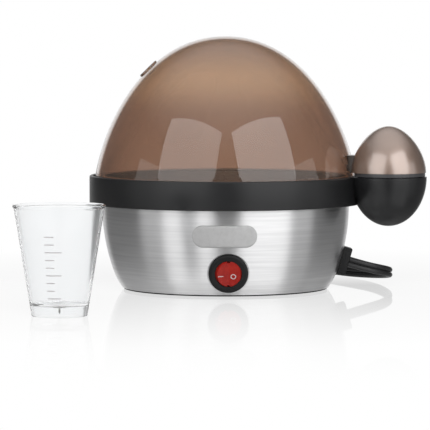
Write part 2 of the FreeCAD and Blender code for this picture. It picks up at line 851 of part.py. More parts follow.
def lid_dome():
    """Smoky lid: even wall, vent boss with its steam hole, holes for the handle's screws."""
    dome = lid_solid(0, lid_seat_z)
    spot, way = vent_place()
    boss = cylinder(vent_boss_r, vent_boss_h + lid_wall, spot - way * lid_wall, way)
    rims = [e for e in boss.Edges if e.Curve.TypeId == "Part::GeomCircle"]
    top = max(rims, key=lambda e: e.Curve.Center.dot(way))
    boss = boss.makeFillet(vent_boss_h / 2, [top])
    dome = dome.fuse(turned(boss, FULL_TURN / 2))
    dome = dome.cut(lid_solid(lid_wall, lid_seat_z - overrun))
    hole_l = vent_boss_h + lid_wall + overrun
    hole = cylinder(vent_hole_r, hole_l, spot - way * (lid_wall + overrun / 2), way)
    dome = dome.cut(turned(hole, FULL_TURN / 2))
    for side in (-1, 1):
        start = V(lid_r - lid_wall - overrun, 0, lid_screw_z)
        way_in = cylinder(handle_screw_r + close_gap, lid_wall + overrun + overrun, start, X_AXIS)
        dome = dome.cut(turned(way_in, handle_turn_deg + side * lid_screw_deg))
    return dome


def half_egg(rim_r, rim_z, tip_z, side_share, tip_share, end_z):
    """Half of the small egg from its rim to its tip, drawn out straight from the rim to end_z."""
    curve = Part.BezierCurve()
    curve.setPoles([
        V(rim_r, 0, rim_z), V(rim_r, 0, rim_z + (tip_z - rim_z) * side_share),
        V(rim_r * tip_share, 0, tip_z), V(0, 0, tip_z),
    ])
    points = [(0, tip_z), (0, end_z), (rim_r, end_z)]
    if end_z != rim_z:
        points.append((rim_r, rim_z))
    solid = spin(lines(points) + [curve.toShape()])
    solid.translate(V(handle_x, 0, 0))
    return solid


def upper_egg(inset, end_z):
    """Upper half of the small egg, moved in by inset, from end_z up."""
    tip_z = egg_up_z + egg_up_h - inset
    return half_egg(egg_up_r - inset, egg_up_z, tip_z, egg_up_side_share, egg_up_tip_share, end_z)


def lower_egg(inset):
    """Lower half of the small egg, moved in by inset."""
    tip_z = egg_low_top_z - egg_low_h + inset
    return half_egg(egg_low_r - inset, egg_low_top_z, tip_z,
                    egg_low_side_share, egg_low_tip_share, egg_low_top_z)


def lid_handle():
    """Bronze half-egg: hollow, its neck shaped to the lid, with two screw bosses."""
    root_x = lid_r - lid_wall
    neck = box(handle_x - root_x, egg_neck_w, egg_neck_h, (handle_x + root_x) / 2, 0, egg_up_z)
    outside = upper_egg(0, egg_up_z).fuse(neck).cut(lid_solid(0, lid_seat_z))
    room = upper_egg(egg_wall, egg_up_z - overrun).cut(lid_solid(-egg_wall, lid_seat_z - overrun))
    shell = outside.cut(room)
    boss_r = handle_screw_r + screw_boss_wall
    for side in (-1, 1):
        boss = cylinder(boss_r, handle_screw_l + egg_wall, V(lid_r - egg_wall, 0, lid_screw_z), X_AXIS)
        boss = turned(boss, side * lid_screw_deg).common(outside)
        shell = shell.fuse(boss)
    for side in (-1, 1):
        bore = cylinder(handle_screw_r + shaft_gap, handle_screw_l + lid_wall + fit_gap,
                        V(lid_r - lid_wall, 0, lid_screw_z), X_AXIS)
        shell = shell.cut(turned(bore, side * lid_screw_deg))
    return turned(shell.removeSplitter(), handle_turn_deg)


def lid_handle_plate():
    """Dark collar that closes the bronze half from below and clears the band."""
    low_z = egg_low_top_z + fit_gap
    collar = cylinder(egg_up_r - collar_inset, egg_up_z - low_z, V(handle_x, 0, low_z))
    collar = collar.cut(cylinder(band_r + fit_gap, lid_rise, V(0, 0, low_z - overrun)))
    spigot = upper_egg(egg_wall + close_gap, egg_up_z)
    slab = cylinder(egg_up_r, spigot_t, V(handle_x, 0, egg_up_z))
    spigot = spigot.common(slab).cut(lid_solid(-egg_wall - close_gap, lid_seat_z))
    boss_r = handle_screw_r + screw_boss_wall + close_gap
    for side in (-1, 1):
        boss = cylinder(boss_r, handle_screw_l + overrun, V(lid_r - egg_wall, 0, lid_screw_z), X_AXIS)
        spigot = spigot.cut(turned(boss, side * lid_screw_deg))
    return turned(collar.fuse(spigot).removeSplitter(), handle_turn_deg)


def lid_handle_screws():
    """Two screws through the lid's wall into the bronze half."""
    solids = []
    for side in (-1, 1):
        start = V(lid_r - lid_wall - handle_screw_head_h, 0, lid_screw_z)
        head = cylinder(handle_screw_head_r, handle_screw_head_h, start, X_AXIS)
        head = head.cut(lid_shell())
        shank = cylinder(handle_screw_r, handle_screw_head_h + lid_wall + handle_screw_l, start, X_AXIS)
        solids.append(turned(head.fuse(shank), handle_turn_deg + side * lid_screw_deg))
    return group(solids)


def band_room(gap):
    """Space that the band takes beside the handle, grown by a gap."""
    return cylinder(band_r + gap, band_top_z, V(0, 0, band_bottom_z - gap))


def base_handle():
    """Black half-egg: hollow, its side shaped to the band, with two screw bosses."""
    outside = lower_egg(0).cut(band_room(0))
    room = lower_egg(egg_wall).cut(band_room(egg_wall))
    shell = outside.cut(room)
    boss_r = handle_screw_r + screw_boss_wall
    start_r = band_in_r + close_gap
    for side in (-1, 1):
        boss = cylinder(boss_r, handle_screw_l + egg_wall, V(band_r - egg_wall, 0, handle_screw_z), X_AXIS)
        shell = shell.fuse(turned(boss, side * handle_screw_deg).common(outside))
    for side in (-1, 1):
        bore = cylinder(handle_screw_r + shaft_gap, handle_screw_l + band_wall + fit_gap,
                        V(start_r, 0, handle_screw_z), X_AXIS)
        shell = shell.cut(turned(bore, side * handle_screw_deg))
    return turned(shell.removeSplitter(), handle_turn_deg)


def base_handle_plate():
    """Flat plate let into the top of the black half."""
    top_z = egg_low_top_z - low_plate_sink
    slab = cylinder(egg_low_r, low_plate_t, V(handle_x, 0, top_z - low_plate_t))
    plate = lower_egg(egg_wall + close_gap).common(slab).cut(band_room(egg_wall + close_gap))
    boss_r = handle_screw_r + screw_boss_wall + close_gap
    start = V(band_r - egg_wall, 0, handle_screw_z)
    for side in (-1, 1):
        way = cylinder(boss_r, handle_screw_l + egg_wall + overrun, start, X_AXIS)
        plate = plate.cut(turned(way, side * handle_screw_deg))
    return turned(plate, handle_turn_deg)


def handle_screws():
    """Two screws from the band's channel into the black half."""
    length = handle_screw_l + band_wall
    return group(
        turned(screw(band_in_r, handle_screw_z, length), handle_turn_deg + side * handle_screw_deg)
        for side in (-1, 1)
    )


def seat_places(z):
    places = [V(0, 0, z)]
    return places + [polar(seat_circle, FULL_TURN * i / seat_count, z) for i in range(seat_count)]


def egg_tray():
    """Tray with a skirt on the pan's step, collared seats, steam holes and two finger tabs."""
    low_z = pan_tray_z + pan_sheet + lid_seat_gap
    top_z = low_z + tray_skirt_h
    tray = lathe([
        (0, top_z), (tray_r, top_z), (tray_r, low_z), (tray_r - tray_skirt_t, low_z),
        (tray_r - tray_skirt_t, top_z - tray_t), (0, top_z - tray_t),
    ])
    collars = [
        cylinder(seat_r + seat_collar_t, tray_t + seat_collar_h, p)
        for p in seat_places(top_z - tray_t)
    ]
    tray = tray.fuse(collars)
    for p in seat_places(low_z):
        tray = tray.cut(cylinder(seat_r, tray_skirt_h + seat_collar_h + overrun, p))
    for i in range(seat_count):
        spot = polar(steam_circle, FULL_TURN * (i + 0.5) / seat_count, low_z)
        tray = tray.cut(cylinder(steam_hole_r, tray_skirt_h + overrun, spot))
    tab = box(tab_t, tab_w, tab_h + tray_t, tab_circle, 0, top_z - tray_t)
    ends = [
        e for e in tab.Edges
        if abs(e.BoundBox.ZMin - top_z - tab_h) < close_gap and e.BoundBox.XLength > close_gap
    ]
    tab = tab.makeFillet(tab_round, ends)
    for side in (0, 1):
        tray = tray.fuse(turned(tab, tab_deg + side * FULL_TURN / 2))
    return tray.removeSplitter()


def strain_relief():
    """Chamfered block on the bowl's wall with a neck through it and a collar inside."""
    wall, outward, upward = gland_frame()
    depth = gland_proud + gland_proud
    block = box(gland_w, gland_h, depth, 0, 0, gland_proud - depth)
    front = [e for e in block.Edges if e.BoundBox.ZMin > gland_proud - close_gap]
    block = block.makeChamfer(gland_chamfer, front)
    block.Placement = local_place(wall, outward, upward)
    block = block.cut(bowl_envelope(0))
    neck = cylinder(gland_neck_r, gland_neck_l + gland_proud, wall - outward * gland_neck_l, outward)
    nut = cylinder(gland_nut_r, gland_nut_t, wall - outward * (gland_neck_l + gland_nut_t), outward)
    return block.fuse([neck, nut]).removeSplitter()


def inner_cord_points():
    """Way of the lead inside: from the outlet's collar, level through the clamp, to its end."""
    wall, outward, upward = gland_frame()
    start = wall - outward * (gland_neck_l + gland_nut_t)
    bend = start - outward * gland_neck_l
    end = V(clamp_x - clamp_w, 0, bend.z)
    return [start, bend, end]


def inner_cord():
    """Sheathed end of the lead between outlet and clamp."""
    edges, radii = rounded_path(inner_cord_points(), cord_d * 2)
    return pipe(edges, cord_d / 2)


def clamp_post():
    """Post on the cover that carries the clamp."""
    top_z = inner_cord_points()[-1].z - cord_d / 2
    low_z = cover_z + foot_h - foot_proud
    return box(clamp_w, clamp_span, top_z - low_z, clamp_x, 0, low_z).cut(clamp_holes(top_z))


def clamp_holes(top_z):
    spots = [V(clamp_x, side * (clamp_span / 2 - clamp_w / 4), top_z - clamp_w) for side in (-1, 1)]
    return group(cylinder(clamp_screw_r + shaft_gap, clamp_w + overrun, s) for s in spots)


def cord_clamp():
    """Saddle that presses the lead on its post."""
    top_z = inner_cord_points()[-1].z - cord_d / 2
    arch = box(clamp_w, cord_d + clamp_t + clamp_t, cord_d + clamp_t, clamp_x, 0, top_z)
    bar = box(clamp_w, clamp_span, clamp_t, clamp_x, 0, top_z)
    start = V(clamp_x - clamp_w, 0, top_z + cord_d / 2)
    way = cylinder(cord_d / 2 + shaft_gap, clamp_w + overrun, start, X_AXIS)
    slot = box(clamp_w + overrun, cord_d + shaft_gap + shaft_gap, cord_d / 2, clamp_x, 0, top_z)
    bore = clamp_holes(top_z)
    return arch.fuse(bar).cut(way).cut(slot).cut(bore)


def clamp_screws():
    """Two screws of the lead's clamp."""
    top_z = inner_cord_points()[-1].z - cord_d / 2
    solids = []
    for side in (-1, 1):
        y = side * (clamp_span / 2 - clamp_w / 4)
        shank = cylinder(clamp_screw_r, clamp_w / 2 + clamp_t, V(clamp_x, y, top_z - clamp_w / 2))
        head = cylinder(clamp_w / 4, clamp_screw_r, V(clamp_x, y, top_z + clamp_t))
        solids.append(shank.fuse(head))
    return group(solids)


def inner_wires():
    """Leads between clamp, switch, thermostat, fuse and heater."""
    split = inner_cord_points()[-1]
    centre, outward, upward = switch_frame()
    back = centre - outward * (switch_body_l + blade_l)
    live, neutral = split + V(0, -wire_r - wire_r, 0), split + V(0, wire_r + wire_r, 0)
    stat_z = plate_z - stat_cap_h - stat_body_h + blade_t + blade_t / 2
    stat_tip = stat_body_r + stat_blade_l
    fuse_z = plate_z - fuse_r
    fuse_tip = fuse_l / 2 + fuse_r
    (right, right_way), (left, left_way) = element_ends()
    reach = tube_tail + bushing_l + pin_l
    pin_right = right + right_way * reach
    pin_left = left + left_way * reach
    mid_z = (cover_z + cover_t + stat_z) / 2
    near = stat_cap_r
    right_blade = back + X_AXIS * blade_pitch
    left_blade = back - X_AXIS * blade_pitch
    routes = [
        [live, live + V(-near, 0, 0), V(near + near, back.y + near, mid_z),
         right_blade - outward * near / 2, right_blade],
        [left_blade, left_blade - outward * near, V(-stat_tip - near, back.y / 2, mid_z),
         V(-stat_tip - near / 2, 0, stat_z), V(-stat_tip, 0, stat_z)],
        [V(stat_tip, 0, stat_z), V(stat_tip + near / 2, 0, stat_z),
         V(stat_tip + near / 2, fuse_tip, stat_z),
         V(fuse_x, fuse_tip + near / 2, fuse_z), V(fuse_x, fuse_tip, fuse_z)],
        [V(fuse_x, -fuse_tip, fuse_z), V(fuse_x, -fuse_tip - near / 3, fuse_z),
         V(near, -fuse_tip - near / 2, stat_z - near / 3),
         pin_right + right_way * near / 2 - UP * near / 2,
         pin_right + right_way * near / 3, pin_right],
        [neutral, neutral + V(-near, 0, 0), V(near, near / 2, mid_z), V(-near, back.y / 3, mid_z),
         pin_left + left_way * near / 3 + V(-near / 4, -near / 8, -near),
         pin_left + left_way * near / 3, pin_left],
    ]
    return group(pipe(rounded_path(route, wire_bend)[0], wire_r) for route in routes)


def cord_points():
    """Route of the free cord from the outlet round to the coil, chosen by hand."""
    return [
        V(73.932, 0.0, 15.97), V(85.048, 0.0, 12.653), V(94.9, 5.7, 10.3), V(100.6, 15.6, 8.4),
        V(100.6, 32.0, 6.4), V(93.5, 55.0, 4.4), V(80.5, 77.5, 3.4), V(69.8, 99.8, 3.2),
        V(65.6, 116.0, 3.2), V(65.6, 124.7, 3.2),
    ]


def tail_points():
    """Route of the short tail from the coil's top turn down to the plug."""
    return [
        V(17.55, 168.45, 10.1), V(7.0, 168.45, 10.1), V(-4.5, 165.6, 7.4),
        V(-13.5, 160.2, 6.85), V(-20.0, 155.2, 6.85),
    ]


def half_turn(start, heading, end, final_heading):
    """Two tangent arcs in space from one point and direction to another."""
    chord = end - start
    both = heading + final_heading
    square = both.dot(both) - 4
    linear = -2 * chord.dot(both)
    root = math.sqrt(linear ** 2 - 4 * square * chord.dot(chord))
    reach = max((-linear - root) / (2 * square), (-linear + root) / (2 * square))
    joint = (start + end) / 2 + (heading - final_heading) * reach / 2
    return [arc_from(start, heading, joint), arc_to(joint, end, final_heading)]


def arc_from(start, heading, end):
    """Arc from a point in a direction to another point."""
    chord = end - start
    along = V(chord).normalize()
    side = heading - along * heading.dot(along)
    side.normalize()
    half = math.acos(max(-1, min(1, heading.dot(along))))
    crest = start + chord / 2 + side * (chord.Length / 2 * math.tan(half / 2))
    return Part.Arc(start, crest, end).toShape()


def arc_to(start, end, heading):
    """Arc to a point that it reaches in a direction."""
    chord = end - start
    along = V(chord).normalize()
    side = along * heading.dot(along) - heading
    side.normalize()
    half = math.acos(max(-1, min(1, heading.dot(along))))
    crest = start + chord / 2 + side * (chord.Length / 2 * math.tan(half / 2))
    return Part.Arc(start, crest, end).toShape()


def coil_edges():
    """Turns of the coil: in along the table, up a layer where the spiral reverses, and out."""
    low_z = cord_d / 2 + cord_lift
    high_z = low_z + cord_d + coil_gap
    step = coil_pitch / 2
    inward = [coil_r - i * step for i in range(coil_round_count + 1)]
    radii = inward + inward[::-1]
    heights = [low_z] * len(inward) + [high_z] * len(inward)
    last_round = coil_round_count + coil_round_count
    centre = V(coil_x, coil_y, 0)
    start = centre + V(radii[0], -cord_d, low_z)
    edges = [Part.LineSegment(start, start + Y_AXIS * cord_d).toShape()]
    for i in range(last_round + 1):
        sign = 1 if i % 2 == 0 else -1
        here = centre + V(sign * radii[i], 0, heights[i])
        there = centre + V(-sign * radii[i + 1], 0, heights[i + 1])
        arcs = half_turn(here, Y_AXIS * sign, there, Y_AXIS * -sign)
        edges += arcs[:1] if i == last_round else arcs
    last = edges[-1].valueAt(edges[-1].LastParameter)
    edges.append(Part.LineSegment(last, last - X_AXIS * cord_d).toShape())
    return edges


def coil_clearance(edges):
    """Least free gap between the coil and its other turns, by points along the tube."""
    points = []
    spacing = cord_d / 3
    travelled = 0
    for edge in edges:
        count = max(2, int(edge.Length / spacing))
        for i in range(count):
            share = i / count
            at = edge.FirstParameter + (edge.LastParameter - edge.FirstParameter) * share
            points.append((travelled + edge.Length * share, edge.valueAt(at)))
        travelled += edge.Length
    apart = [
        (p - q).Length for s, p in points for t, q in points
        if t - s > math.pi * coil_pitch
    ]
    return min(apart) - cord_d, travelled


def plug_frame():
    """Where the tail enters the plug and the level direction in which the plug points."""
    points = tail_points()
    way = points[-1] - points[-2]
    return points[-1], V(way.x, way.y, 0).normalize()


def plug_placed(shape):
    """Move a shape built along +X with the plug's end at the origin to where the plug lies."""
    entry, way = plug_frame()
    copy = shape.copy()
    copy.rotate(ORIGIN, UP, math.degrees(math.atan2(way.y, way.x)))
    copy.translate(V(entry.x, entry.y, plug_t / 2))
    return copy


def plug_section(x, width, thickness, corner):
    """Rounded outline of the plug across its length."""
    half_w = width / 2
    half_t = thickness / 2
    cut = min(corner, half_t - close_gap, half_w - close_gap)
    corners = [
        V(x, half_w, -half_t + cut), V(x, half_w, half_t - cut), V(x, half_w - cut, half_t),
        V(x, -half_w + cut, half_t), V(x, -half_w, half_t - cut), V(x, -half_w, -half_t + cut),
        V(x, -half_w + cut, -half_t), V(x, half_w - cut, -half_t),
    ]
    return Part.makePolygon(corners + corners[:1])


def plug_body():
    """Flat two-pin plug: tapered neck, shoulders and a flat front."""
    sections = [
        plug_section(0, plug_tail_w, plug_tail_t, plug_corner),
        plug_section(plug_neck_l, plug_tail_w, plug_tail_t, plug_corner),
        plug_section(plug_l - plug_corner, plug_w, plug_t, plug_corner),
        plug_section(plug_l, plug_w, plug_t, plug_corner),
    ]
    return plug_placed(Part.makeLoft(sections, True, True))


def plug_pins():
    """Two round pins with rounded tips."""
    solids = []
    for side in (-1, 1):
        pin = cylinder(prong_r, prong_l, V(plug_l, side * prong_pitch / 2, 0), X_AXIS)
        tip = max(
            (e for e in pin.Edges if e.Curve.TypeId == "Part::GeomCircle"),
            key=lambda e: e.Curve.Center.x,
        )
        solids.append(plug_placed(pin.makeFillet(prong_r / 2, [tip])))
    return group(solids)


def measuring_cup():
    """Tapered cup with a rolled lip and a raised floor over the pin."""
    inner_rim = cup_rim_r - cup_wall
    inner_foot = cup_foot_r - cup_wall
    slope = (cup_rim_r - cup_foot_r) / cup_h
    top_floor = cup_floor_z + cup_wall
    cup = lathe([
        (cup_foot_r, 0), (cup_rim_r, cup_h), (inner_rim, cup_h),
        (inner_foot + slope * top_floor, top_floor), (0, top_floor), (0, cup_floor_z),
        (inner_foot + slope * cup_floor_z, cup_floor_z), (inner_foot, 0),
    ])
    lip = Part.makeTorus(cup_rim_r - cup_wall / 2, cup_bead_r, V(0, 0, cup_h - cup_bead_r))
    cup = cup.fuse(lip)
    cup.translate(V(cup_x, cup_y, 0))
    return cup


def piercing_pin():
    """Needle on its disc under the cup's floor, for piercing an egg before boiling."""
    top = V(cup_x, cup_y, cup_floor_z - pin_disc_t)
    disc = cylinder(pin_disc_r, pin_disc_t, top)
    needle = Part.makeCone(needle_r / 5, needle_r, needle_l, top - UP * needle_l)
    return disc.fuse(needle)


def main():
    os.makedirs("parts", exist_ok=True)
    nodes = {
        "outer_bowl": outer_bowl,
        "ring_band": ring_band,
        "heating_pan": heating_pan,
        "heater_plate": heater_plate,
        "heating_element": heating_element,
        "heater_terminals": heater_terminals,
        "thermostat": thermostat,
        "thermostat_clip": thermostat_clip,
        "thermostat_screws": thermostat_screws,
        "thermal_fuse": thermal_fuse,
        "fuse_clip": fuse_clip,
        "pan_studs": pan_studs,
        "stud_nuts": stud_nuts,
        "base_cover": base_cover,
        "foot_ring": foot_ring,
        "switch_bezel": switch_bezel,
        "switch_terminals": switch_terminals,
        "switch_rocker": switch_rocker,
        "inner_wires": inner_wires,
        "strain_relief": strain_relief,
        "inner_cord": inner_cord,
        "cord_clamp": cord_clamp,
        "clamp_screws": clamp_screws,
        "base_handle": base_handle,
        "base_handle_plate": base_handle_plate,
        "handle_screws": handle_screws,
        "lid_dome": lid_dome,
        "lid_handle": lid_handle,
        "lid_handle_plate": lid_handle_plate,
        "lid_handle_screws": lid_handle_screws,
        "egg_tray": egg_tray,
        "measuring_cup": measuring_cup,
        "piercing_pin": piercing_pin,
        "plug_body": plug_body,
        "plug_pins": plug_pins,
    }
    for name, make in nodes.items():
        export(make(), name)
    free_edges, free_radii = rounded_path(cord_points())
    tail_edges, tail_radii = rounded_path(tail_points())
    turns = coil_edges()
    export(pipe(free_edges, cord_d / 2), "power_cord")
    export(pipe(turns, cord_d / 2), "cord_coil")
    export(pipe(tail_edges, cord_d / 2), "cord_tail")
    gap, coil_length = coil_clearance(turns)
    free_length = sum(e.Length for e in free_edges)
    tail_length = sum(e.Length for e in tail_edges)
    print("cord arc radii", [round(r, 1) for r in free_radii + tail_radii])
    print("least gap in the coil", round(gap, 2))
    print("cord length", round(free_length + coil_length + tail_length, 1))


main()
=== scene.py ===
import math

import bmesh
import bpy
from mathutils import Matrix, Vector


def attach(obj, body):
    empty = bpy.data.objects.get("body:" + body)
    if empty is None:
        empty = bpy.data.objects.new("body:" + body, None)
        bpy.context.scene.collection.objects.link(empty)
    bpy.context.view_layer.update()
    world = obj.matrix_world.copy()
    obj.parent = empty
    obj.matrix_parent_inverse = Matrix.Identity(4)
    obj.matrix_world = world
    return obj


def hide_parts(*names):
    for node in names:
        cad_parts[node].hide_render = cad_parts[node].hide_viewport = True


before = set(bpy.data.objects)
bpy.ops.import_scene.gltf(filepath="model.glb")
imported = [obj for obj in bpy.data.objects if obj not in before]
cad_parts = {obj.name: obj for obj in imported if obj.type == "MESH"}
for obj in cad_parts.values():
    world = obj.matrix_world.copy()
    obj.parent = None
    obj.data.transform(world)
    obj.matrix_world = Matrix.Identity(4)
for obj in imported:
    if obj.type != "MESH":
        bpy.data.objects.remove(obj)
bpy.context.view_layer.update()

# Camera at the photograph's angle; lengths in metres, angles in degrees
PHOTO_PIXELS = 430
FOCAL_PIXELS = 3000
SENSOR_MM = 36
CAMERA_DISTANCE = 1.8
CAMERA_ELEVATION = 3.6
CAMERA_AZIMUTH = -1.2
CAMERA_TARGET = Vector((-0.0063, 0, 0.0441))
CAMERA_FAR = 50

# Flat twin cord: the route from the outlet to the coil, and from the coil to the plug
CORD_ROUTE = [
    (0.073932, 0.0, 0.01597), (0.085048, 0.0, 0.012653), (0.0949, 0.0057, 0.0103),
    (0.1006, 0.0156, 0.0084), (0.1006, 0.032, 0.0064), (0.0935, 0.055, 0.0044),
    (0.0805, 0.0775, 0.0034), (0.0698, 0.0998, 0.0032), (0.0656, 0.116, 0.0032),
    (0.0656, 0.1247, 0.0032),
]
TAIL_ROUTE = [
    (0.01755, 0.16845, 0.0101), (0.007, 0.16845, 0.0101), (-0.0045, 0.1656, 0.0074),
    (-0.0135, 0.1602, 0.00685), (-0.02, 0.1552, 0.00685),
]
CORD_WIDTH = 0.0063
STRAND_RADIUS = 0.00165
COIL_CENTRE = Vector((0.026, 0.131, 0))
COIL_RADIUS = 0.0396
COIL_STEP = 0.0043
COIL_ROUNDS = 3
COIL_LOW = 0.0032
COIL_HIGH = 0.0101
POINTS_PER_HALF_TURN = 8

# Lid
LID_R = 0.0779
LID_WALL = 0.0026
LID_SEAT_Z = 0.0562
LID_SPRING_Z = 0.069
LID_RISE = 0.0823
LID_LEAN_SHARE = 0.0826
LID_SHOULDER_SHARE = 0.4176
LID_CROWN_SHARE = 0.5938
LID_EDGE = 0.0006
VENT_SHARE = 0.594
VENT_BOSS_R = 0.0065
VENT_BOSS_H = 0.0008
VENT_HOLE_R = 0.002
OVERRUN = 0.004

# Band, bowl and pan
BAND_R = 0.0815
BAND_IN_R = 0.0795
BAND_TOP_Z = 0.0682
BAND_BOTTOM_Z = 0.0513
BAND_EDGE = 0.0009
BAND_FINE_EDGE = 0.0003
BAND_SKIRT_IN_R = 0.07405
BAND_SKIRT_R = 0.07565
SHELF_Z = 0.056
SHELF_IN_R = 0.0715
BOWL_R = 0.0739
BOWL_TOP_Z = 0.054
BOWL_WALL = 0.0006
BOWL_BELLY_Z = 0.05
BOWL_BELLY_CURVE = 0.114
BOWL_HEEL_Z = 0.0107
BOWL_HEEL_CURVE = 0.0385
BOWL_FOOT_Z = 0.0013
BOWL_FOOT_FLANGE = 0.0049
BOWL_MOUTH_R = 0.0709
PAN_R = 0.0733
PAN_SHEET = 0.0006
PAN_BEAD = 0.0008
PAN_FLANGE = 0.0027
PAN_STEP = 0.0041
PAN_DRAFT = 0.002
PAN_RIM_Z = 0.0675
PAN_TRAY_Z = 0.05
PAN_FLOOR_Z = 0.036
PAN_BEND = 0.0018
FOOT_R = 0.053
FOOT_W = 0.0057
FOOT_H = 0.0017
FOOT_EDGE = 0.0005
GAP = 0.0003
CLOSE_GAP = 0.00015

# Switch
SWITCH_Z = 0.0143
SWITCH_TILT = 12.0
LAND_R = 0.0123
LAND_SINK = 0.001
LAND_GAP = 0.0001
BEZEL_R = 0.0115
BEZEL_T = 0.0024
BEZEL_ROUND = 0.0011
BEZEL_CREST_R = 0.0098
BEZEL_CREST_ROUND = 0.0012
HOLLOW_FLOOR_SHARE = 0.7
SWITCH_BODY_R = 0.01
SWITCH_BODY_L = 0.015
ROCKER_R = 0.0075
ROCKER_PIVOT = 0.0036
ROCKER_ANGLE = 16.0
ROCKER_DROP = 0.0005
ROCKER_GAP = 0.00025
ROCKER_FACE = 0.0068
ROCKER_SLANT = 0.0038
ROCKER_EDGE = 0.00022
ROCKER_DEPTH_SHARE = 1.6
NOTCH_W = 0.0016
NOTCH_D = 0.0009
MARK_W = 0.00045
MARK_T = 0.00008
BAR_LENGTH = 0.0033
RING_MARK_R = 0.00155
BAR_AT = (-0.0047, -0.001)
RING_AT = (0.00285, -0.0015)

# Bare plate on the bowl's front
PLATE_X = -0.0024
PLATE_Z = 0.0361
PLATE_W = 0.0385
PLATE_H = 0.0129
PLATE_T = 0.00025
PLATE_RIM_SHARE = 0.25

# Small egg: bronze upper half and black lower half
HANDLE_TURN = -15.0
HANDLE_X = 0.0992
EGG_LOW_R = 0.0226
EGG_LOW_H = 0.0291
EGG_LOW_TOP_Z = 0.0682
EGG_LOW_SHARE = 0.5523
EGG_UP_R = 0.0222
EGG_UP_H = 0.02745
EGG_UP_Z = 0.0708
EGG_NECK_W = 0.0132
EGG_NECK_H = 0.01
EGG_NECK_BEND = 0.001
EGG_UP_SIDE_SHARE = 0.4593
EGG_UP_TIP_SHARE = 0.481
EGG_WALL = 0.002
COLLAR_INSET = 0.0005
COLLAR_EDGE = 0.0003
LOW_PLATE_T = 0.002
LOW_PLATE_SINK = 0.001

# Egg tray
TRAY_RIM_GAP = 0.0006
TRAY_FLOOR_GAP = 0.0002
TRAY_EDGE = 0.0004
TRAY_T = 0.0016
TRAY_SKIRT_H = 0.0042
TRAY_SKIRT_T = 0.0014
SEAT_R = 0.0185
SEAT_CIRCLE = 0.0455
SEAT_COUNT = 6
SEAT_COLLAR_T = 0.0012
SEAT_COLLAR_H = 0.0014
STEAM_HOLE_R = 0.0032
STEAM_CIRCLE = 0.02627
TAB_CIRCLE = 0.0635
TAB_W = 0.015
TAB_H = 0.009
TAB_T = 0.0018
TAB_ROUND = 0.004
TAB_DEG = 30

# Cord outlet
GLAND_Z = 0.0174
GLAND_W = 0.011
GLAND_H = 0.0164
GLAND_PROUD = 0.005
GLAND_CHAMFER = 0.0018
GLAND_EDGE_SHARE = 0.45
RECESS_W_SHARE = 0.62
RECESS_H_SHARE = 0.66
RECESS_DEPTH = 0.0006
RECESS_BEND = 0.0012
GLAND_NECK_R = 0.0046
GLAND_NECK_L = 0.0034
GLAND_NUT_R = 0.0062
GLAND_NUT_T = 0.002

# Plug
PLUG_Z = 0.00685
PLUG_L = 0.028
PLUG_W = 0.0353
PLUG_T = 0.0137
PLUG_TAIL_W = 0.013
PLUG_TAIL_T = 0.0095
PLUG_NECK_L = 0.009
PLUG_CORNER = 0.004
PLUG_EDGE = 0.0008
PLUG_RIBS = 4
PLUG_GROOVE_SHARE = 0.9
PRONG_R = 0.002
PRONG_L = 0.019
PRONG_PITCH = 0.0186

# Measuring cup and needle
CUP_X = -0.0945
CUP_Y = -0.168
CUP_RIM_R = 0.025
CUP_FOOT_R = 0.0152
CUP_H = 0.0605
CUP_WALL = 0.0012
CUP_FLOOR_Z = 0.006
CUP_BEAD_R = 0.0009
CUP_EDGE = 0.0004
CUP_FLOOR_BEND = 0.0008
CUP_LINES = 9
CUP_LINE_LOW_Z = 0.0105
CUP_LINE_STEP = 0.0042
CUP_LINE_T = 0.00025
CUP_LINES_TURN = 0.35
CUP_LONG_LINE = 0.22
CUP_SHORT_LINE = 0.12
PIN_DISC_R = 0.0035
PIN_DISC_T = 0.0012
PIN_DISC_EDGE = 0.0002
NEEDLE_R = 0.0006
NEEDLE_L = 0.0034

# Studio
LAMP_TARGET = Vector((0, 0, 0.06))
PANEL_DISTANCE = 1.3
FLOOR_HALF = 30.0

# Range in which most of a noise texture's values lie
NOISE_LOW = 0.3
NOISE_HIGH = 0.7

# Steps round a turned piece and round a corner
FINE_STEPS = 192
STEPS = 96
CORNER_STEPS = 4
CURVE_STEPS = 48
SHARP_ANGLE = 32
TINY = 1e-7


def bezier(a, b, c, d):
    """Points of a cubic curve through radius and height pairs."""
    points = []
    for i in range(CURVE_STEPS + 1):
        t = i / CURVE_STEPS
        s = 1 - t
        shares = (s ** 3, 3 * s * s * t, 3 * s * t * t, t ** 3)
        points.append(tuple(sum(k * p[j] for k, p in zip(shares, (a, b, c, d))) for j in (0, 1)))
    return points


def arc(centre, radius, start, end, steps):
    """Points of an arc between two angles in radians."""
    angles = [start + (end - start) * i / steps for i in range(steps + 1)]
    return [(centre[0] + radius * math.cos(a), centre[1] + radius * math.sin(a)) for a in angles]


def rounded(corners, steps=CORNER_STEPS):
    """Closed outline through radius, height and rounding triples."""
    points = []
    for i, (r, z, bend) in enumerate(corners):
        corner = Vector((r, z))
        if not bend:
            points.append((r, z))
            continue
        back = (Vector(corners[i - 1][:2]) - corner).normalized()
        ahead = (Vector(corners[(i + 1) % len(corners)][:2]) - corner).normalized()
        half = back.angle(ahead) / 2
        centre = corner + (back + ahead).normalized() * (bend / math.sin(half))
        first = corner + back * (bend / math.tan(half)) - centre
        last = corner + ahead * (bend / math.tan(half)) - centre
        start = math.atan2(first.y, first.x)
        sweep = math.atan2(first.x * last.y - first.y * last.x, first.dot(last))
        points += arc(centre, bend, start, start + sweep, steps)
    return points


def put_in_scene(name, data):
    made = bpy.data.objects.new(name, data)
    bpy.context.scene.collection.objects.link(made)
    return made


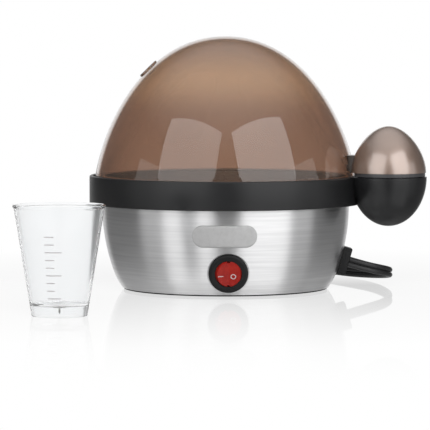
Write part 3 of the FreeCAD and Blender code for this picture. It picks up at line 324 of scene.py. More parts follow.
def new_piece(name, mesh):
    """Object with smooth shading between its sharp edges."""
    bmesh.ops.remove_doubles(mesh, verts=mesh.verts, dist=TINY)
    bmesh.ops.recalc_face_normals(mesh, faces=mesh.faces)
    data = bpy.data.meshes.new(name)
    mesh.to_mesh(data)
    mesh.free()
    piece = put_in_scene(name, data)
    soften(piece)
    return piece


def soften(piece):
    """Smooth shading, with sharp edges kept sharp."""
    piece.data.shade_smooth()
    piece.data.set_sharp_from_angle(angle=math.radians(SHARP_ANGLE))


def curve_mesh(name, data):
    """Mesh of a curve's shape."""
    holder = put_in_scene(name, data)
    bpy.context.view_layer.update()
    made = bpy.data.meshes.new_from_object(holder)
    bpy.data.objects.remove(holder)
    return made


def lathe(name, outline, steps=STEPS, centre=(0, 0)):
    """Closed outline of radius and height pairs turned about a vertical axis."""
    mesh = bmesh.new()
    rings = []
    for r, z in outline:
        if r < TINY:
            rings.append([mesh.verts.new((centre[0], centre[1], z))])
            continue
        turns = [2 * math.pi * i / steps for i in range(steps)]
        rings.append([
            mesh.verts.new((centre[0] + r * math.cos(a), centre[1] + r * math.sin(a), z)) for a in turns
        ])
    for ring, following in zip(rings, rings[1:] + rings[:1]):
        if len(ring) == 1 and len(following) == 1:
            continue
        for i in range(steps):
            j = (i + 1) % steps
            corners = [
                ring[i % len(ring)], ring[j % len(ring)],
                following[j % len(following)], following[i % len(following)],
            ]
            mesh.faces.new(list(dict.fromkeys(corners)))
    return new_piece(name, mesh)


def rod(name, radius, low, high, steps=STEPS, centre=(0, 0)):
    return lathe(name, [(0, low), (radius, low), (radius, high), (0, high)], steps, centre)


def prism(name, outline, low, high):
    """Outline of X and Y pairs drawn up between two heights."""
    mesh = bmesh.new()
    floor = [mesh.verts.new((x, y, low)) for x, y in outline]
    roof = [mesh.verts.new((x, y, high)) for x, y in outline]
    mesh.faces.new(floor)
    mesh.faces.new(roof)
    for i in range(len(outline)):
        j = (i + 1) % len(outline)
        mesh.faces.new((floor[i], floor[j], roof[j], roof[i]))
    return new_piece(name, mesh)


def block(name, size, low_centre, bend=0.0):
    """Block over the middle of its lowest face, with rounded upright edges."""
    x, y = size[0] / 2, size[1] / 2
    outline = rounded([(-x, -y, bend), (x, -y, bend), (x, y, bend), (-x, y, bend)])
    outline = [(low_centre[0] + a, low_centre[1] + b) for a, b in outline]
    return prism(name, outline, low_centre[2], low_centre[2] + size[2])


def loft(name, sections):
    """Skin through closed rows of points with as many points each, capped at both ends."""
    mesh = bmesh.new()
    rows = [[mesh.verts.new(p) for p in section] for section in sections]
    for row, following in zip(rows, rows[1:]):
        for i in range(len(row)):
            j = (i + 1) % len(row)
            mesh.faces.new((row[i], row[j], following[j], following[i]))
    mesh.faces.new(rows[0])
    mesh.faces.new(rows[-1])
    return new_piece(name, mesh)


def move(piece, matrix):
    piece.data.transform(matrix)
    return piece


def turned(piece, degrees):
    return move(piece, Matrix.Rotation(math.radians(degrees), 4, "Z"))


def place_at(base, outward, upward):
    """Matrix whose local X is to the viewer's right, Y up the panel and Z outwards."""
    right = upward.cross(outward)
    matrix = Matrix((right, upward, outward)).transposed().to_4x4()
    matrix.translation = base
    return matrix


def combine(piece, tools, operation):
    """Boolean of a piece with others, which are used up."""
    for tool in tools:
        change = piece.modifiers.new("combine", "BOOLEAN")
        change.operation = operation
        change.object = tool
        change.solver = "EXACT"
    bpy.context.view_layer.update()
    graph = bpy.context.evaluated_depsgraph_get()
    data = bpy.data.meshes.new_from_object(piece.evaluated_get(graph))
    piece.modifiers.clear()
    piece.data = data
    for tool in tools:
        bpy.data.objects.remove(tool)
    soften(piece)
    return piece


def cut(piece, *tools):
    return combine(piece, tools, "DIFFERENCE")


def add(piece, *tools):
    return combine(piece, tools, "UNION")


def keep(piece, *tools):
    return combine(piece, tools, "INTERSECT")


def bevel_edges(piece, width, angle):
    """Rounds the edges sharper than an angle in degrees."""
    change = piece.modifiers.new("edges", "BEVEL")
    change.width = width
    change.segments = 3
    change.limit_method = "ANGLE"
    change.angle_limit = math.radians(angle)


def bring_in(piece, *others):
    """Puts the meshes of other pieces into this one as separate shells."""
    mesh = bmesh.new()
    for part in (piece,) + others:
        mesh.from_mesh(part.data)
    mesh.to_mesh(piece.data)
    mesh.free()
    for part in others:
        bpy.data.objects.remove(part)
    soften(piece)
    return piece


def face(thing, target, azimuth, elevation, distance):
    """Sets a camera or lamp at a distance from a target, seen at two angles, and turns it there."""
    turn, rise = math.radians(azimuth), math.radians(elevation)
    back = Vector((math.sin(turn) * math.cos(rise), -math.cos(turn) * math.cos(rise), math.sin(rise)))
    thing.location = target + back * distance
    thing.rotation_euler = back.to_track_quat("Z", "Y").to_euler()


def dress(piece, material, body, slot, *nodes):
    """Gives a piece its material and body and hides the CAD nodes that it stands for; the slot is not used.
    """
    piece.data.materials.clear()
    piece.data.materials.append(material)
    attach(piece, body)
    if nodes:
        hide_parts(*nodes)
    return piece


# Materials
def principled(name, **values):
    """New material with a Principled shader and its uniform values."""
    made = bpy.data.materials.new(name)
    made.use_nodes = True
    shader = made.node_tree.nodes["Principled BSDF"]
    for socket, value in values.items():
        shader.inputs[socket.replace("_", " ")].default_value = value
    return made, shader


def node(owner, kind, **settings):
    """New node of a material or world."""
    made = owner.node_tree.nodes.new(kind)
    for key, value in settings.items():
        setattr(made, key, value)
    return made


def link(owner, value, socket):
    """Feeds a socket from another node's output, or sets it to a number."""
    if isinstance(value, (int, float)):
        socket.default_value = value
    else:
        owner.node_tree.links.new(value, socket)


def ranged(owner, value, near, far, low, high, **settings):
    """Maps one range of a value to another and holds it at both ends."""
    made = node(owner, "ShaderNodeMapRange", **settings)
    for socket, number in (("From Min", near), ("From Max", far), ("To Min", low), ("To Max", high)):
        made.inputs[socket].default_value = number
    link(owner, value, made.inputs["Value"])
    return made.outputs["Result"]


def computed(owner, operation, *values):
    made = node(owner, "ShaderNodeMath", operation=operation)
    for value, socket in zip(values, made.inputs):
        link(owner, value, socket)
    return made.outputs[0]


def mixed(owner, factor, first, second):
    """Second shader over the first, by a factor."""
    made = node(owner, "ShaderNodeMixShader")
    for value, socket in zip((factor, first, second), made.inputs):
        link(owner, value, socket)
    return made.outputs[0]


def white_light(owner, kind, strength):
    made = node(owner, kind)
    made.inputs["Color"].default_value = (1, 1, 1, 1)
    link(owner, strength, made.inputs["Strength"])
    return made.outputs[0]


def axes(owner, vector):
    """X, Y and Z of a vector."""
    parts = node(owner, "ShaderNodeSeparateXYZ")
    link(owner, vector, parts.inputs["Vector"])
    return parts.outputs


def stretched_noise(material, scale, detail=3.0, roughness=0.55):
    """Noise over object coordinates with its own scale along each axis."""
    place = node(material, "ShaderNodeTexCoord")
    mapping = node(material, "ShaderNodeMapping")
    mapping.inputs["Scale"].default_value = scale
    link(material, place.outputs["Object"], mapping.inputs["Vector"])
    noise = node(material, "ShaderNodeTexNoise")
    noise.inputs["Scale"].default_value = 1.0
    noise.inputs["Detail"].default_value = detail
    noise.inputs["Roughness"].default_value = roughness
    link(material, mapping.outputs["Vector"], noise.inputs["Vector"])
    return noise.outputs["Fac"]


def cells(material, scale, randomness=1.0):
    """Distance to the nearest of many small cells over object coordinates."""
    place = node(material, "ShaderNodeTexCoord")
    voronoi = node(material, "ShaderNodeTexVoronoi")
    voronoi.inputs["Scale"].default_value = scale
    voronoi.inputs["Randomness"].default_value = randomness
    link(material, place.outputs["Object"], voronoi.inputs["Vector"])
    return voronoi.outputs["Distance"]


def spread(material, value, low, high):
    """Maps a noise to a range."""
    return ranged(material, value, NOISE_LOW, NOISE_HIGH, low, high)


def vary_colour(material, shader, value, dark, light):
    """Base colour between two colours."""
    ramp = node(material, "ShaderNodeValToRGB")
    ramp.color_ramp.elements[0].position = NOISE_LOW
    ramp.color_ramp.elements[1].position = NOISE_HIGH
    ramp.color_ramp.elements[0].color = dark + (1,)
    ramp.color_ramp.elements[1].color = light + (1,)
    link(material, value, ramp.inputs["Fac"])
    link(material, ramp.outputs["Color"], shader.inputs["Base Color"])


def relief(material, shader, value, depth, strength=1.0):
    """Bump of a real depth."""
    bump = node(material, "ShaderNodeBump")
    bump.inputs["Strength"].default_value = strength
    bump.inputs["Distance"].default_value = depth
    link(material, value, bump.inputs["Height"])
    link(material, bump.outputs["Normal"], shader.inputs["Normal"])


def brushed_metal(name, dark, light, rough, lines, depth):
    """Metal brushed round the vertical axis: fine level lines in tone, gloss and relief."""
    made, shader = principled(name, Metallic=1.0, Anisotropic=0.85, Anisotropic_Rotation=0.25)
    swirl = 8.0
    fine = stretched_noise(made, (swirl, swirl, lines), 4.0, 0.6)
    broad = stretched_noise(made, (swirl * 2, swirl * 2, lines / 5), 3.0, 0.6)
    vary_colour(made, shader, broad, dark, light)
    link(made, spread(made, fine, rough * 0.82, rough * 1.18), shader.inputs["Roughness"])
    relief(made, shader, fine, depth)
    tangent = node(made, "ShaderNodeTangent", direction_type="RADIAL", axis="Z")
    link(made, tangent.outputs["Tangent"], shader.inputs["Tangent"])
    return made


def plain_metal(name, dark, light, rough, scale, depth):
    """Metal with even fine wear."""
    made, shader = principled(name, Metallic=1.0)
    wear = stretched_noise(made, (scale, scale, scale), 5.0, 0.6)
    vary_colour(made, shader, wear, dark, light)
    link(made, spread(made, wear, rough * 0.75, rough * 1.3), shader.inputs["Roughness"])
    relief(made, shader, wear, depth)
    return made


def moulded(name, dark, light, rough, grain=2600.0, depth=0.00003, **values):
    """Moulded plastic or rubber with fine spark-eroded grain and faint flow marks."""
    made, shader = principled(name, **values)
    flow = stretched_noise(made, (22, 22, 38), 3.0, 0.5)
    fine = stretched_noise(made, (grain, grain, grain), 2.0, 0.5)
    vary_colour(made, shader, flow, dark, light)
    link(made, spread(made, flow, rough * 0.88, rough * 1.14), shader.inputs["Roughness"])
    relief(made, shader, fine, depth, 0.6)
    return made


def smoke_plastic():
    """Smoky brown see-through lid: its colour is in its thickness, with a painted glow on its face that is
    lighter and more amber high up towards the crown.
    """
    made, shader = principled(
        "smoky_lid", Roughness=0.03, IOR=1.55, Transmission_Weight=0.94, Coat_Weight=0.6,
        Coat_Roughness=0.02,
    )
    haze = stretched_noise(made, (26, 26, 18), 3.0, 0.5)
    place = node(made, "ShaderNodeTexCoord")
    # Painted glow: the base colour is lighter and more amber towards the crown, standing in for the light
    # from above
    height = node(made, "ShaderNodeValToRGB")
    height.color_ramp.interpolation = "EASE"
    stops = height.color_ramp.elements
    stops[0].position, stops[0].color = 0.102, (0.75, 0.61, 0.51, 1)
    stops[1].position, stops[1].color = 0.128, (1.0, 0.85, 0.66, 1)
    last = stops.new(0.147)
    last.color = (0.88, 0.74, 0.59, 1)
    link(made, axes(made, place.outputs["Object"])["Z"], height.inputs["Fac"])
    blend = node(made, "ShaderNodeMix", data_type="RGBA", blend_type="MULTIPLY")
    blend.inputs["Factor"].default_value = 1.0
    tone = node(made, "ShaderNodeCombineColor")
    level = spread(made, haze, 0.97, 1.0)
    for channel in ("Red", "Green", "Blue"):
        link(made, level, tone.inputs[channel])
    link(made, height.outputs["Color"], blend.inputs["A"])
    link(made, tone.outputs["Color"], blend.inputs["B"])
    link(made, blend.outputs["Result"], shader.inputs["Base Color"])
    wave = stretched_noise(made, (40, 40, 40), 1.0, 0.4)
    relief(made, shader, wave, 0.00004, 0.5)
    volume = node(made, "ShaderNodeVolumeAbsorption")
    volume.inputs["Color"].default_value = (0.61, 0.42, 0.30, 1)
    volume.inputs["Density"].default_value = 300.0
    output = made.node_tree.nodes["Material Output"]
    link(made, volume.outputs["Volume"], output.inputs["Volume"])
    return made


def pearl_bronze():
    """Satin bronze lacquer with fine pearl flakes."""
    made, shader = principled(
        "pearl_bronze", Metallic=0.6, Coat_Weight=1.0, Coat_IOR=2.3, Coat_Roughness=0.21,
    )
    flakes = cells(made, 5200.0)
    cloud = stretched_noise(made, (60, 60, 60), 3.0, 0.5)
    vary_colour(made, shader, cloud, (0.31, 0.215, 0.168), (0.35, 0.245, 0.192))
    link(made, spread(made, flakes, 0.30, 0.38), shader.inputs["Roughness"])
    relief(made, shader, flakes, 0.000012, 0.5)
    return made


def red_lens():
    """Saturated red rocker with a stippled face."""
    made, shader = principled(
        "red_rocker", Roughness=0.34, Specular_IOR_Level=0.25, Coat_Weight=0.1, Coat_Roughness=0.12,
    )
    stipple = cells(made, 1500.0, 0.25)
    cloud = stretched_noise(made, (260, 260, 260), 2.0, 0.5)
    vary_colour(made, shader, cloud, (0.29, 0.008, 0.005), (0.37, 0.017, 0.009))
    relief(made, shader, stipple, 0.00012, 0.8)
    return made


def frosted_clear():
    """Frosted clear plastic of the measuring cup."""
    made, shader = principled(
        "frosted_cup", Roughness=0.1, IOR=1.16, Transmission_Weight=0.97, Coat_Weight=0.15,
    )
    cloud = stretched_noise(made, (90, 90, 40), 3.0, 0.5)
    fine = stretched_noise(made, (1800, 1800, 1800), 2.0, 0.5)
    vary_colour(made, shader, cloud, (0.975, 0.985, 0.99), (0.99, 0.995, 1.0))
    link(made, spread(made, cloud, 0.08, 0.14), shader.inputs["Roughness"])
    relief(made, shader, fine, 0.00003, 0.2)
    return made


def tray_plastic():
    """Milky natural plastic of the egg tray."""
    made, shader = principled(
        "milky_tray", Roughness=0.42, IOR=1.5, Subsurface_Weight=0.35, Subsurface_Scale=0.002,
    )
    cloud = stretched_noise(made, (70, 70, 70), 3.0, 0.5)
    vary_colour(made, shader, cloud, (0.62, 0.615, 0.59), (0.72, 0.715, 0.69))
    fine = stretched_noise(made, (1700, 1700, 1700), 2.0, 0.5)
    relief(made, shader, fine, 0.00003, 0.5)
    return made


def woven_sleeve():
    """Woven glass sleeve."""
    made, shader = principled("woven_sleeve", Roughness=0.8)
    weave = cells(made, 1400.0, 0.1)
    vary_colour(made, shader, weave, (0.66, 0.62, 0.50), (0.86, 0.83, 0.74))
    relief(made, shader, weave, 0.0002, 0.8)
    return made


STEEL = brushed_metal("brushed_steel", (0.70, 0.70, 0.705), (0.83, 0.83, 0.835), 0.34, 3200.0, 0.000008)
PAN_STEEL = brushed_metal("pan_steel", (0.66, 0.66, 0.665), (0.76, 0.76, 0.765), 0.20, 1500.0, 0.00001)
PLATE_STEEL = plain_metal("satin_plate", (0.64, 0.64, 0.64), (0.67, 0.67, 0.67), 0.62, 300.0, 0.000002)
ALUMINIUM = plain_metal("cast_aluminium", (0.56, 0.57, 0.58), (0.68, 0.69, 0.70), 0.45, 420.0, 0.00008)
TINTED_STEEL = plain_metal("heat_tinted_steel", (0.20, 0.17, 0.14), (0.36, 0.33, 0.31), 0.42, 160.0, 0.00003)
SPRING_STEEL = plain_metal("spring_steel", (0.42, 0.42, 0.43), (0.52, 0.52, 0.53), 0.25, 500.0, 0.00002)
ZINC = plain_metal("zinc_screws", (0.52, 0.53, 0.53), (0.68, 0.69, 0.68), 0.30, 700.0, 0.00002)
BRASS = plain_metal("tinned_brass", (0.60, 0.50, 0.32), (0.74, 0.64, 0.44), 0.28, 500.0, 0.00002)
NICKEL = plain_metal("nickel_pins", (0.62, 0.61, 0.58), (0.74, 0.73, 0.70), 0.18, 600.0, 0.00001)
BAND_BLACK = moulded(
    "band_black", (0.011, 0.0112, 0.012), (0.015, 0.0152, 0.016), 0.34, Specular_IOR_Level=0.4,
)
HOUSING_BLACK = moulded(
    "housing_black", (0.006, 0.006, 0.0065), (0.010, 0.010, 0.0105), 0.42, Specular_IOR_Level=0.24,
)
COLLAR_GREY = moulded("collar_grey", (0.060, 0.060, 0.063), (0.080, 0.080, 0.084), 0.34)
NECK_BROWN = moulded("neck_brown", (0.030, 0.022, 0.017), (0.042, 0.031, 0.024), 0.3)
CORD_BLACK = moulded("cord_black", (0.012, 0.012, 0.013), (0.018, 0.018, 0.019), 0.34, 1500.0)
RUBBER_BLACK = moulded("foot_rubber", (0.010, 0.010, 0.010), (0.018, 0.018, 0.018), 0.7)
CERAMIC = moulded("ceramic", (0.72, 0.70, 0.64), (0.82, 0.80, 0.75), 0.6, 900.0, 0.00006)
PHENOLIC = moulded("phenolic", (0.020, 0.018, 0.016), (0.032, 0.029, 0.026), 0.3)
SILICONE = moulded("silicone_wires", (0.55, 0.52, 0.46), (0.66, 0.63, 0.57), 0.5)
WHITE_PRINT = moulded("white_marks", (0.56, 0.53, 0.54), (0.64, 0.61, 0.62), 0.5)
SMOKE = smoke_plastic()
BRONZE = pearl_bronze()
RED = red_lens()
FROST = frosted_clear()
MILKY = tray_plastic()
SLEEVE = woven_sleeve()


# Camera
def make_camera():
    data = bpy.data.cameras.new("camera")
    data.sensor_width = SENSOR_MM
    data.lens = SENSOR_MM * FOCAL_PIXELS / PHOTO_PIXELS
    data.clip_end = CAMERA_FAR
    camera = put_in_scene("camera", data)
    face(camera, CAMERA_TARGET, CAMERA_AZIMUTH, CAMERA_ELEVATION, CAMERA_DISTANCE)
    bpy.context.scene.camera = camera


# Cord
def coil_points():
    """Control points of the coil: in along the table, up where the spiral reverses, and out."""
    inward = [COIL_RADIUS - i * COIL_STEP for i in range(COIL_ROUNDS + 1)]
    radii = inward + inward[::-1]
    heights = [COIL_LOW] * len(inward) + [COIL_HIGH] * len(inward)
    reach = 1 / math.cos(math.pi / POINTS_PER_HALF_TURN / 2)
    steps = POINTS_PER_HALF_TURN * (len(radii) - 2) + POINTS_PER_HALF_TURN // 2
    points = []
    for i in range(1, steps):
        half, within = divmod(i - 0.5, POINTS_PER_HALF_TURN)
        half = int(half)
        turn = math.pi * within / POINTS_PER_HALF_TURN
        mean = (radii[half] + radii[half + 1]) / 2
        spare = (radii[half] - radii[half + 1]) / 2
        share = (1 - math.cos(turn)) / 2
        radius = (mean + spare * math.cos(turn)) * reach
        height = heights[half] + (heights[half + 1] - heights[half]) * share
        angle = math.pi * half + turn
        spot = Vector((radius * math.cos(angle), radius * math.sin(angle), height))
        points.append(tuple(COIL_CENTRE + spot))
    return points


def cord_line():
    """Points along the cord's smooth spline."""
    data = bpy.data.curves.new("cord_route", "CURVE")
    data.dimensions = "3D"
    data.resolution_u = 6
    spline = data.splines.new("NURBS")
    route = CORD_ROUTE + coil_points() + TAIL_ROUTE
    spline.points.add(len(route) - 1)
    for point, spot in zip(spline.points, route):
        point.co = (*spot, 1)
    spline.order_u = 3
    spline.use_endpoint_u = True
    return [v.co.copy() for v in curve_mesh("cord_route", data).vertices]


def twin_section():
    """Outline of two round strands side by side with a groove between them, wide side up."""
    offset = CORD_WIDTH / 2 - STRAND_RADIUS
    opening = math.acos(offset / STRAND_RADIUS)
    steps = 12
    outline = []
    for middle, start in ((offset, -math.pi / 2 + opening), (-offset, math.pi / 2 + opening)):
        sweep = 2 * math.pi - 2 * opening
        for i in range(steps + 1):
            angle = start + sweep * i / steps
            outline.append((STRAND_RADIUS * math.cos(angle), middle + STRAND_RADIUS * math.sin(angle)))
    return outline


def make_cord():
    line = cord_line()
    outline = twin_section()
    sections = []
    for i, spot in enumerate(line):
        along = (line[min(i + 1, len(line) - 1)] - line[max(i - 1, 0)]).normalized()
        side = along.cross(Vector((0, 0, 1))).normalized()
        upward = side.cross(along)
        sections.append([spot + side * a + upward * b for a, b in outline])
    cord = loft("mains_cord", sections)
    dress(cord, CORD_BLACK, "base", "cord_black", "power_cord", "cord_coil", "cord_tail")
    return cord, line


def plug_matrix():
    """Places a plug built along +X from its cord end."""
    last, before = Vector(TAIL_ROUTE[-1]), Vector(TAIL_ROUTE[-2])
    way = last - before
    turn = Matrix.Rotation(math.atan2(way.y, way.x), 4, "Z")
    return Matrix.Translation((last.x, last.y, PLUG_Z)) @ turn


def plug_section(x, width, thickness, corner):
    half_w, half_t = width / 2, thickness / 2
    bend = min(corner, half_t * 0.96)
    corners = [(a * half_w, b * half_t, bend) for a, b in ((-1, -1), (1, -1), (1, 1), (-1, 1))]
    return [(x, a, b) for a, b in rounded(corners, 6)]


def make_plug():
    """Flat two-pin plug with a ribbed neck."""
    groove = PLUG_GROOVE_SHARE
    sections = [plug_section(0, PLUG_TAIL_W * groove, PLUG_TAIL_T * groove, PLUG_CORNER)]
    for i in range(PLUG_RIBS):
        start = PLUG_NECK_L * (i + 0.2) / PLUG_RIBS
        for share, swell in ((0.0, groove), (0.12, 1.0), (0.52, 1.0), (0.64, groove)):
            x = start + PLUG_NECK_L / PLUG_RIBS * share
            sections.append(plug_section(x, PLUG_TAIL_W * swell, PLUG_TAIL_T * swell, PLUG_CORNER))
    shoulder_shares = (0.0, 0.12, 0.3, 0.5, 0.7, 0.88, 1.0)
    for share in shoulder_shares:
        ease = share * share * (3 - 2 * share)
        x = PLUG_NECK_L + (PLUG_L - PLUG_CORNER - PLUG_NECK_L) * share
        width = PLUG_TAIL_W + (PLUG_W - PLUG_TAIL_W) * ease
        thickness = PLUG_TAIL_T + (PLUG_T - PLUG_TAIL_T) * ease
        sections.append(plug_section(x, width, thickness, PLUG_CORNER))
    for back, inward in ((1.0, 0.0), (0.3, 0.6), (0.0, 2.0)):
        width, thickness = PLUG_W - PLUG_EDGE * inward, PLUG_T - PLUG_EDGE * inward
        sections.append(plug_section(PLUG_L - PLUG_EDGE * back, width, thickness, PLUG_CORNER))
    body = move(loft("plug", sections), plug_matrix())
    return dress(body, HOUSING_BLACK, "base", "plug_black", "plug_body")


def make_pins():
    """Two round pins with rounded tips."""
    pins = None
    lying = Matrix.Rotation(math.pi / 2, 4, "Y")
    for side in (-1, 1):
        tip = (PRONG_R, PRONG_L, PRONG_R * 0.7)
        outline = rounded([(0, 0, 0), (PRONG_R, 0, 0), tip, (0, PRONG_L, 0)], 6)
        pin = lathe("plug_contacts", outline, 32)
        move(pin, Matrix.Translation((PLUG_L, side * PRONG_PITCH / 2, 0)) @ lying)
        pins = pin if pins is None else bring_in(pins, pin)
    move(pins, plug_matrix())
    return dress(pins, NICKEL, "base", "plug_nickel", "plug_pins")


make_camera()
cord_piece, cord_path = make_cord()
plug_piece = make_plug()
pins_piece = make_pins()


# Lid
def dome_curve(inset):
    rim = LID_R - inset
    rise = LID_RISE - inset
    top = LID_SPRING_Z + rise
    return bezier(
        (rim, LID_SPRING_Z), (rim * (1 - LID_LEAN_SHARE), LID_SPRING_Z + rise * LID_SHOULDER_SHARE),
        (rim * LID_CROWN_SHARE, top), (0, top),
    )


def dome_solid(name, inset, floor_z):
    """Filled dome, moved in by inset, down to a height."""
    points = [(0, floor_z), (LID_R - inset, floor_z)] + dome_curve(inset)
    return lathe(name, points, FINE_STEPS)


def vent_matrix():
    """Frame of the vent boss on the lid's left side."""
    outside = dome_curve(0)
    at = VENT_SHARE * CURVE_STEPS
    i = int(at)
    here, after = Vector(outside[i]), Vector(outside[i + 1])
    spot = here + (after - here) * (at - i)
    along = (after - here).normalized()
    outward = Vector((-abs(along.y), 0, abs(along.x)))
    upward = Vector((0, 1, 0)).cross(outward) * -1
    return place_at(Vector((-spot.x, 0, spot.y)), outward, upward)


def make_lid():
    """Smoky dome with an even wall and a round vent boss with its hole."""
    outline = [(LID_R, LID_SEAT_Z + LID_EDGE)] + dome_curve(0) + dome_curve(LID_WALL)[::-1]
    outline += [
        (LID_R - LID_WALL, LID_SEAT_Z + LID_EDGE), (LID_R - LID_WALL + LID_EDGE, LID_SEAT_Z),
        (LID_R - LID_EDGE, LID_SEAT_Z),
    ]
    lid = lathe("lid_shell", outline, FINE_STEPS)
    boss_outline = rounded([
        (0, -LID_WALL / 2, 0), (VENT_BOSS_R, -LID_WALL / 2, 0),
        (VENT_BOSS_R, VENT_BOSS_H, VENT_BOSS_H / 2), (0, VENT_BOSS_H, 0),
    ])
    boss = move(lathe("boss", boss_outline, 48), vent_matrix())
    add(lid, boss)
    cut(lid, move(rod("hole", VENT_HOLE_R, -2 * OVERRUN, OVERRUN, 32), vent_matrix()))
    return dress(lid, SMOKE, "lid", "smoke_lid", "lid_dome")


# Small egg
def half_egg(name, radius, rim_z, tip_z, side_share, tip_share):
    rise = tip_z - rim_z
    side, tip = (radius, rim_z + rise * side_share), (radius * tip_share, tip_z)
    curve = bezier((radius, rim_z), side, tip, (0, tip_z))
    return lathe(name, [(0, rim_z)] + curve, STEPS, (HANDLE_X, 0))


def upper_egg(name, inset, low_z):
    return half_egg(
        name, EGG_UP_R - inset, low_z, EGG_UP_Z + EGG_UP_H - inset, EGG_UP_SIDE_SHARE, EGG_UP_TIP_SHARE,
    )


def lower_egg(name, inset):
    tip_z = EGG_LOW_TOP_Z - EGG_LOW_H + inset
    return half_egg(name, EGG_LOW_R - inset, EGG_LOW_TOP_Z, tip_z, EGG_LOW_SHARE, EGG_LOW_SHARE)


def band_room(name, gap):
    """Round room that the band takes, and above it up to the lid's top."""
    return rod(name, BAND_R + gap, BAND_BOTTOM_Z - OVERRUN * 5, LID_SPRING_Z + LID_RISE, FINE_STEPS)


def make_handle():
    """Bronze half-egg on the lid with its neck and collar, black half on the band with its plate."""
    low = LID_SEAT_Z - OVERRUN
    root_x = LID_R - LID_WALL
    neck_l = EGG_UP_R / 3
    neck_size = (neck_l, EGG_NECK_W, EGG_NECK_H)
    neck = block("egg_neck", neck_size, (root_x + neck_l / 2, 0, EGG_UP_Z), EGG_NECK_BEND)
    turned(cut(neck, dome_solid("dome", 0, low)), HANDLE_TURN)
    dress(neck, NECK_BROWN, "lid", "collar_grey")
    bronze = cut(upper_egg("egg_upper", 0, EGG_UP_Z), dome_solid("dome", 0, low))
    room = cut(upper_egg("room", EGG_WALL, EGG_UP_Z - OVERRUN), dome_solid("dome", -EGG_WALL, low))
    turned(cut(bronze, room), HANDLE_TURN)
    dress(bronze, BRONZE, "lid", "bronze_paint", "lid_handle")
    collar_r = EGG_UP_R - COLLAR_INSET
    collar_low = EGG_LOW_TOP_Z + GAP
    collar_outline = rounded([
        (0, collar_low, 0), (collar_r, collar_low, COLLAR_EDGE), (collar_r, EGG_UP_Z, 0),
        (0, EGG_UP_Z, 0),
    ])
    collar = lathe("egg_collar", collar_outline, STEPS, (HANDLE_X, 0))
    turned(cut(collar, band_room("room", GAP)), HANDLE_TURN)
    dress(collar, COLLAR_GREY, "lid", "collar_grey", "lid_handle_plate")
    black = cut(lower_egg("egg_lower", 0), band_room("room", 0))
    cut(black, cut(lower_egg("room", EGG_WALL), band_room("band", EGG_WALL)))
    turned(black, HANDLE_TURN)
    dress(black, BAND_BLACK, "base", "black_band", "base_handle")
    top = EGG_LOW_TOP_Z - LOW_PLATE_SINK
    plate = rod("egg_lower_plate", EGG_LOW_R, top - LOW_PLATE_T, top, STEPS, (HANDLE_X, 0))
    keep(plate, lower_egg("room", EGG_WALL + CLOSE_GAP))
    turned(cut(plate, band_room("band", EGG_WALL + CLOSE_GAP)), HANDLE_TURN)
    dress(plate, COLLAR_GREY, "base", "collar_grey", "base_handle_plate")


# Band, bowl and pan
def make_band():
    """Black band with the lid's channel, a skirt round the bowl and rounded outer edges."""
    fine = BAND_FINE_EDGE
    outline = rounded([
        (BAND_IN_R, BAND_TOP_Z, fine), (BAND_R, BAND_TOP_Z, BAND_EDGE),
        (BAND_R, BAND_BOTTOM_Z, BAND_EDGE), (BAND_IN_R, BAND_BOTTOM_Z, fine),
        (BAND_IN_R, BOWL_TOP_Z, 0), (BAND_SKIRT_R, BOWL_TOP_Z, 0),
        (BAND_SKIRT_R, BAND_BOTTOM_Z, fine), (BAND_SKIRT_IN_R, BAND_BOTTOM_Z, fine),
        (BAND_SKIRT_IN_R, BOWL_TOP_Z, 0), (SHELF_IN_R, BOWL_TOP_Z, 0), (SHELF_IN_R, SHELF_Z, fine),
        (BAND_IN_R, SHELF_Z, 0),
    ])
    band = lathe("band", outline, FINE_STEPS)
    return dress(band, BAND_BLACK, "base", "black_band", "ring_band")


def bowl_side(inset):
    """Arcs of the bowl's side from its widest height to its foot, moved in by inset."""
    belly_centre = BOWL_R - BOWL_BELLY_CURVE
    belly_angle = math.asin((BOWL_BELLY_Z - BOWL_HEEL_Z) / BOWL_BELLY_CURVE)
    step = BOWL_BELLY_CURVE - BOWL_HEEL_CURVE
    heel = (belly_centre + step * math.cos(belly_angle), BOWL_BELLY_Z - step * math.sin(belly_angle))
    radius = BOWL_HEEL_CURVE - inset
    foot_angle = math.asin((heel[1] - BOWL_FOOT_Z - inset) / radius)
    side = arc((belly_centre, BOWL_BELLY_Z), BOWL_BELLY_CURVE - inset, 0, -belly_angle, 24)
    return side[:-1] + arc(heel, radius, -belly_angle, -foot_angle, 14)


def bowl_radius(z):
    """Outer radius of the bowl between its widest height and its heel."""
    return BOWL_R - BOWL_BELLY_CURVE + math.sqrt(BOWL_BELLY_CURVE ** 2 - (BOWL_BELLY_Z - z) ** 2)


def switch_axes():
    """Middle of the flat for the switch, and the directions out of it and up along it."""
    tilt = math.radians(SWITCH_TILT)
    outward = Vector((0, -math.cos(tilt), -math.sin(tilt)))
    upward = Vector((0, -math.sin(tilt), math.cos(tilt)))
    centre = Vector((0, -bowl_radius(SWITCH_Z), SWITCH_Z)) - outward * LAND_SINK
    return centre, outward, upward


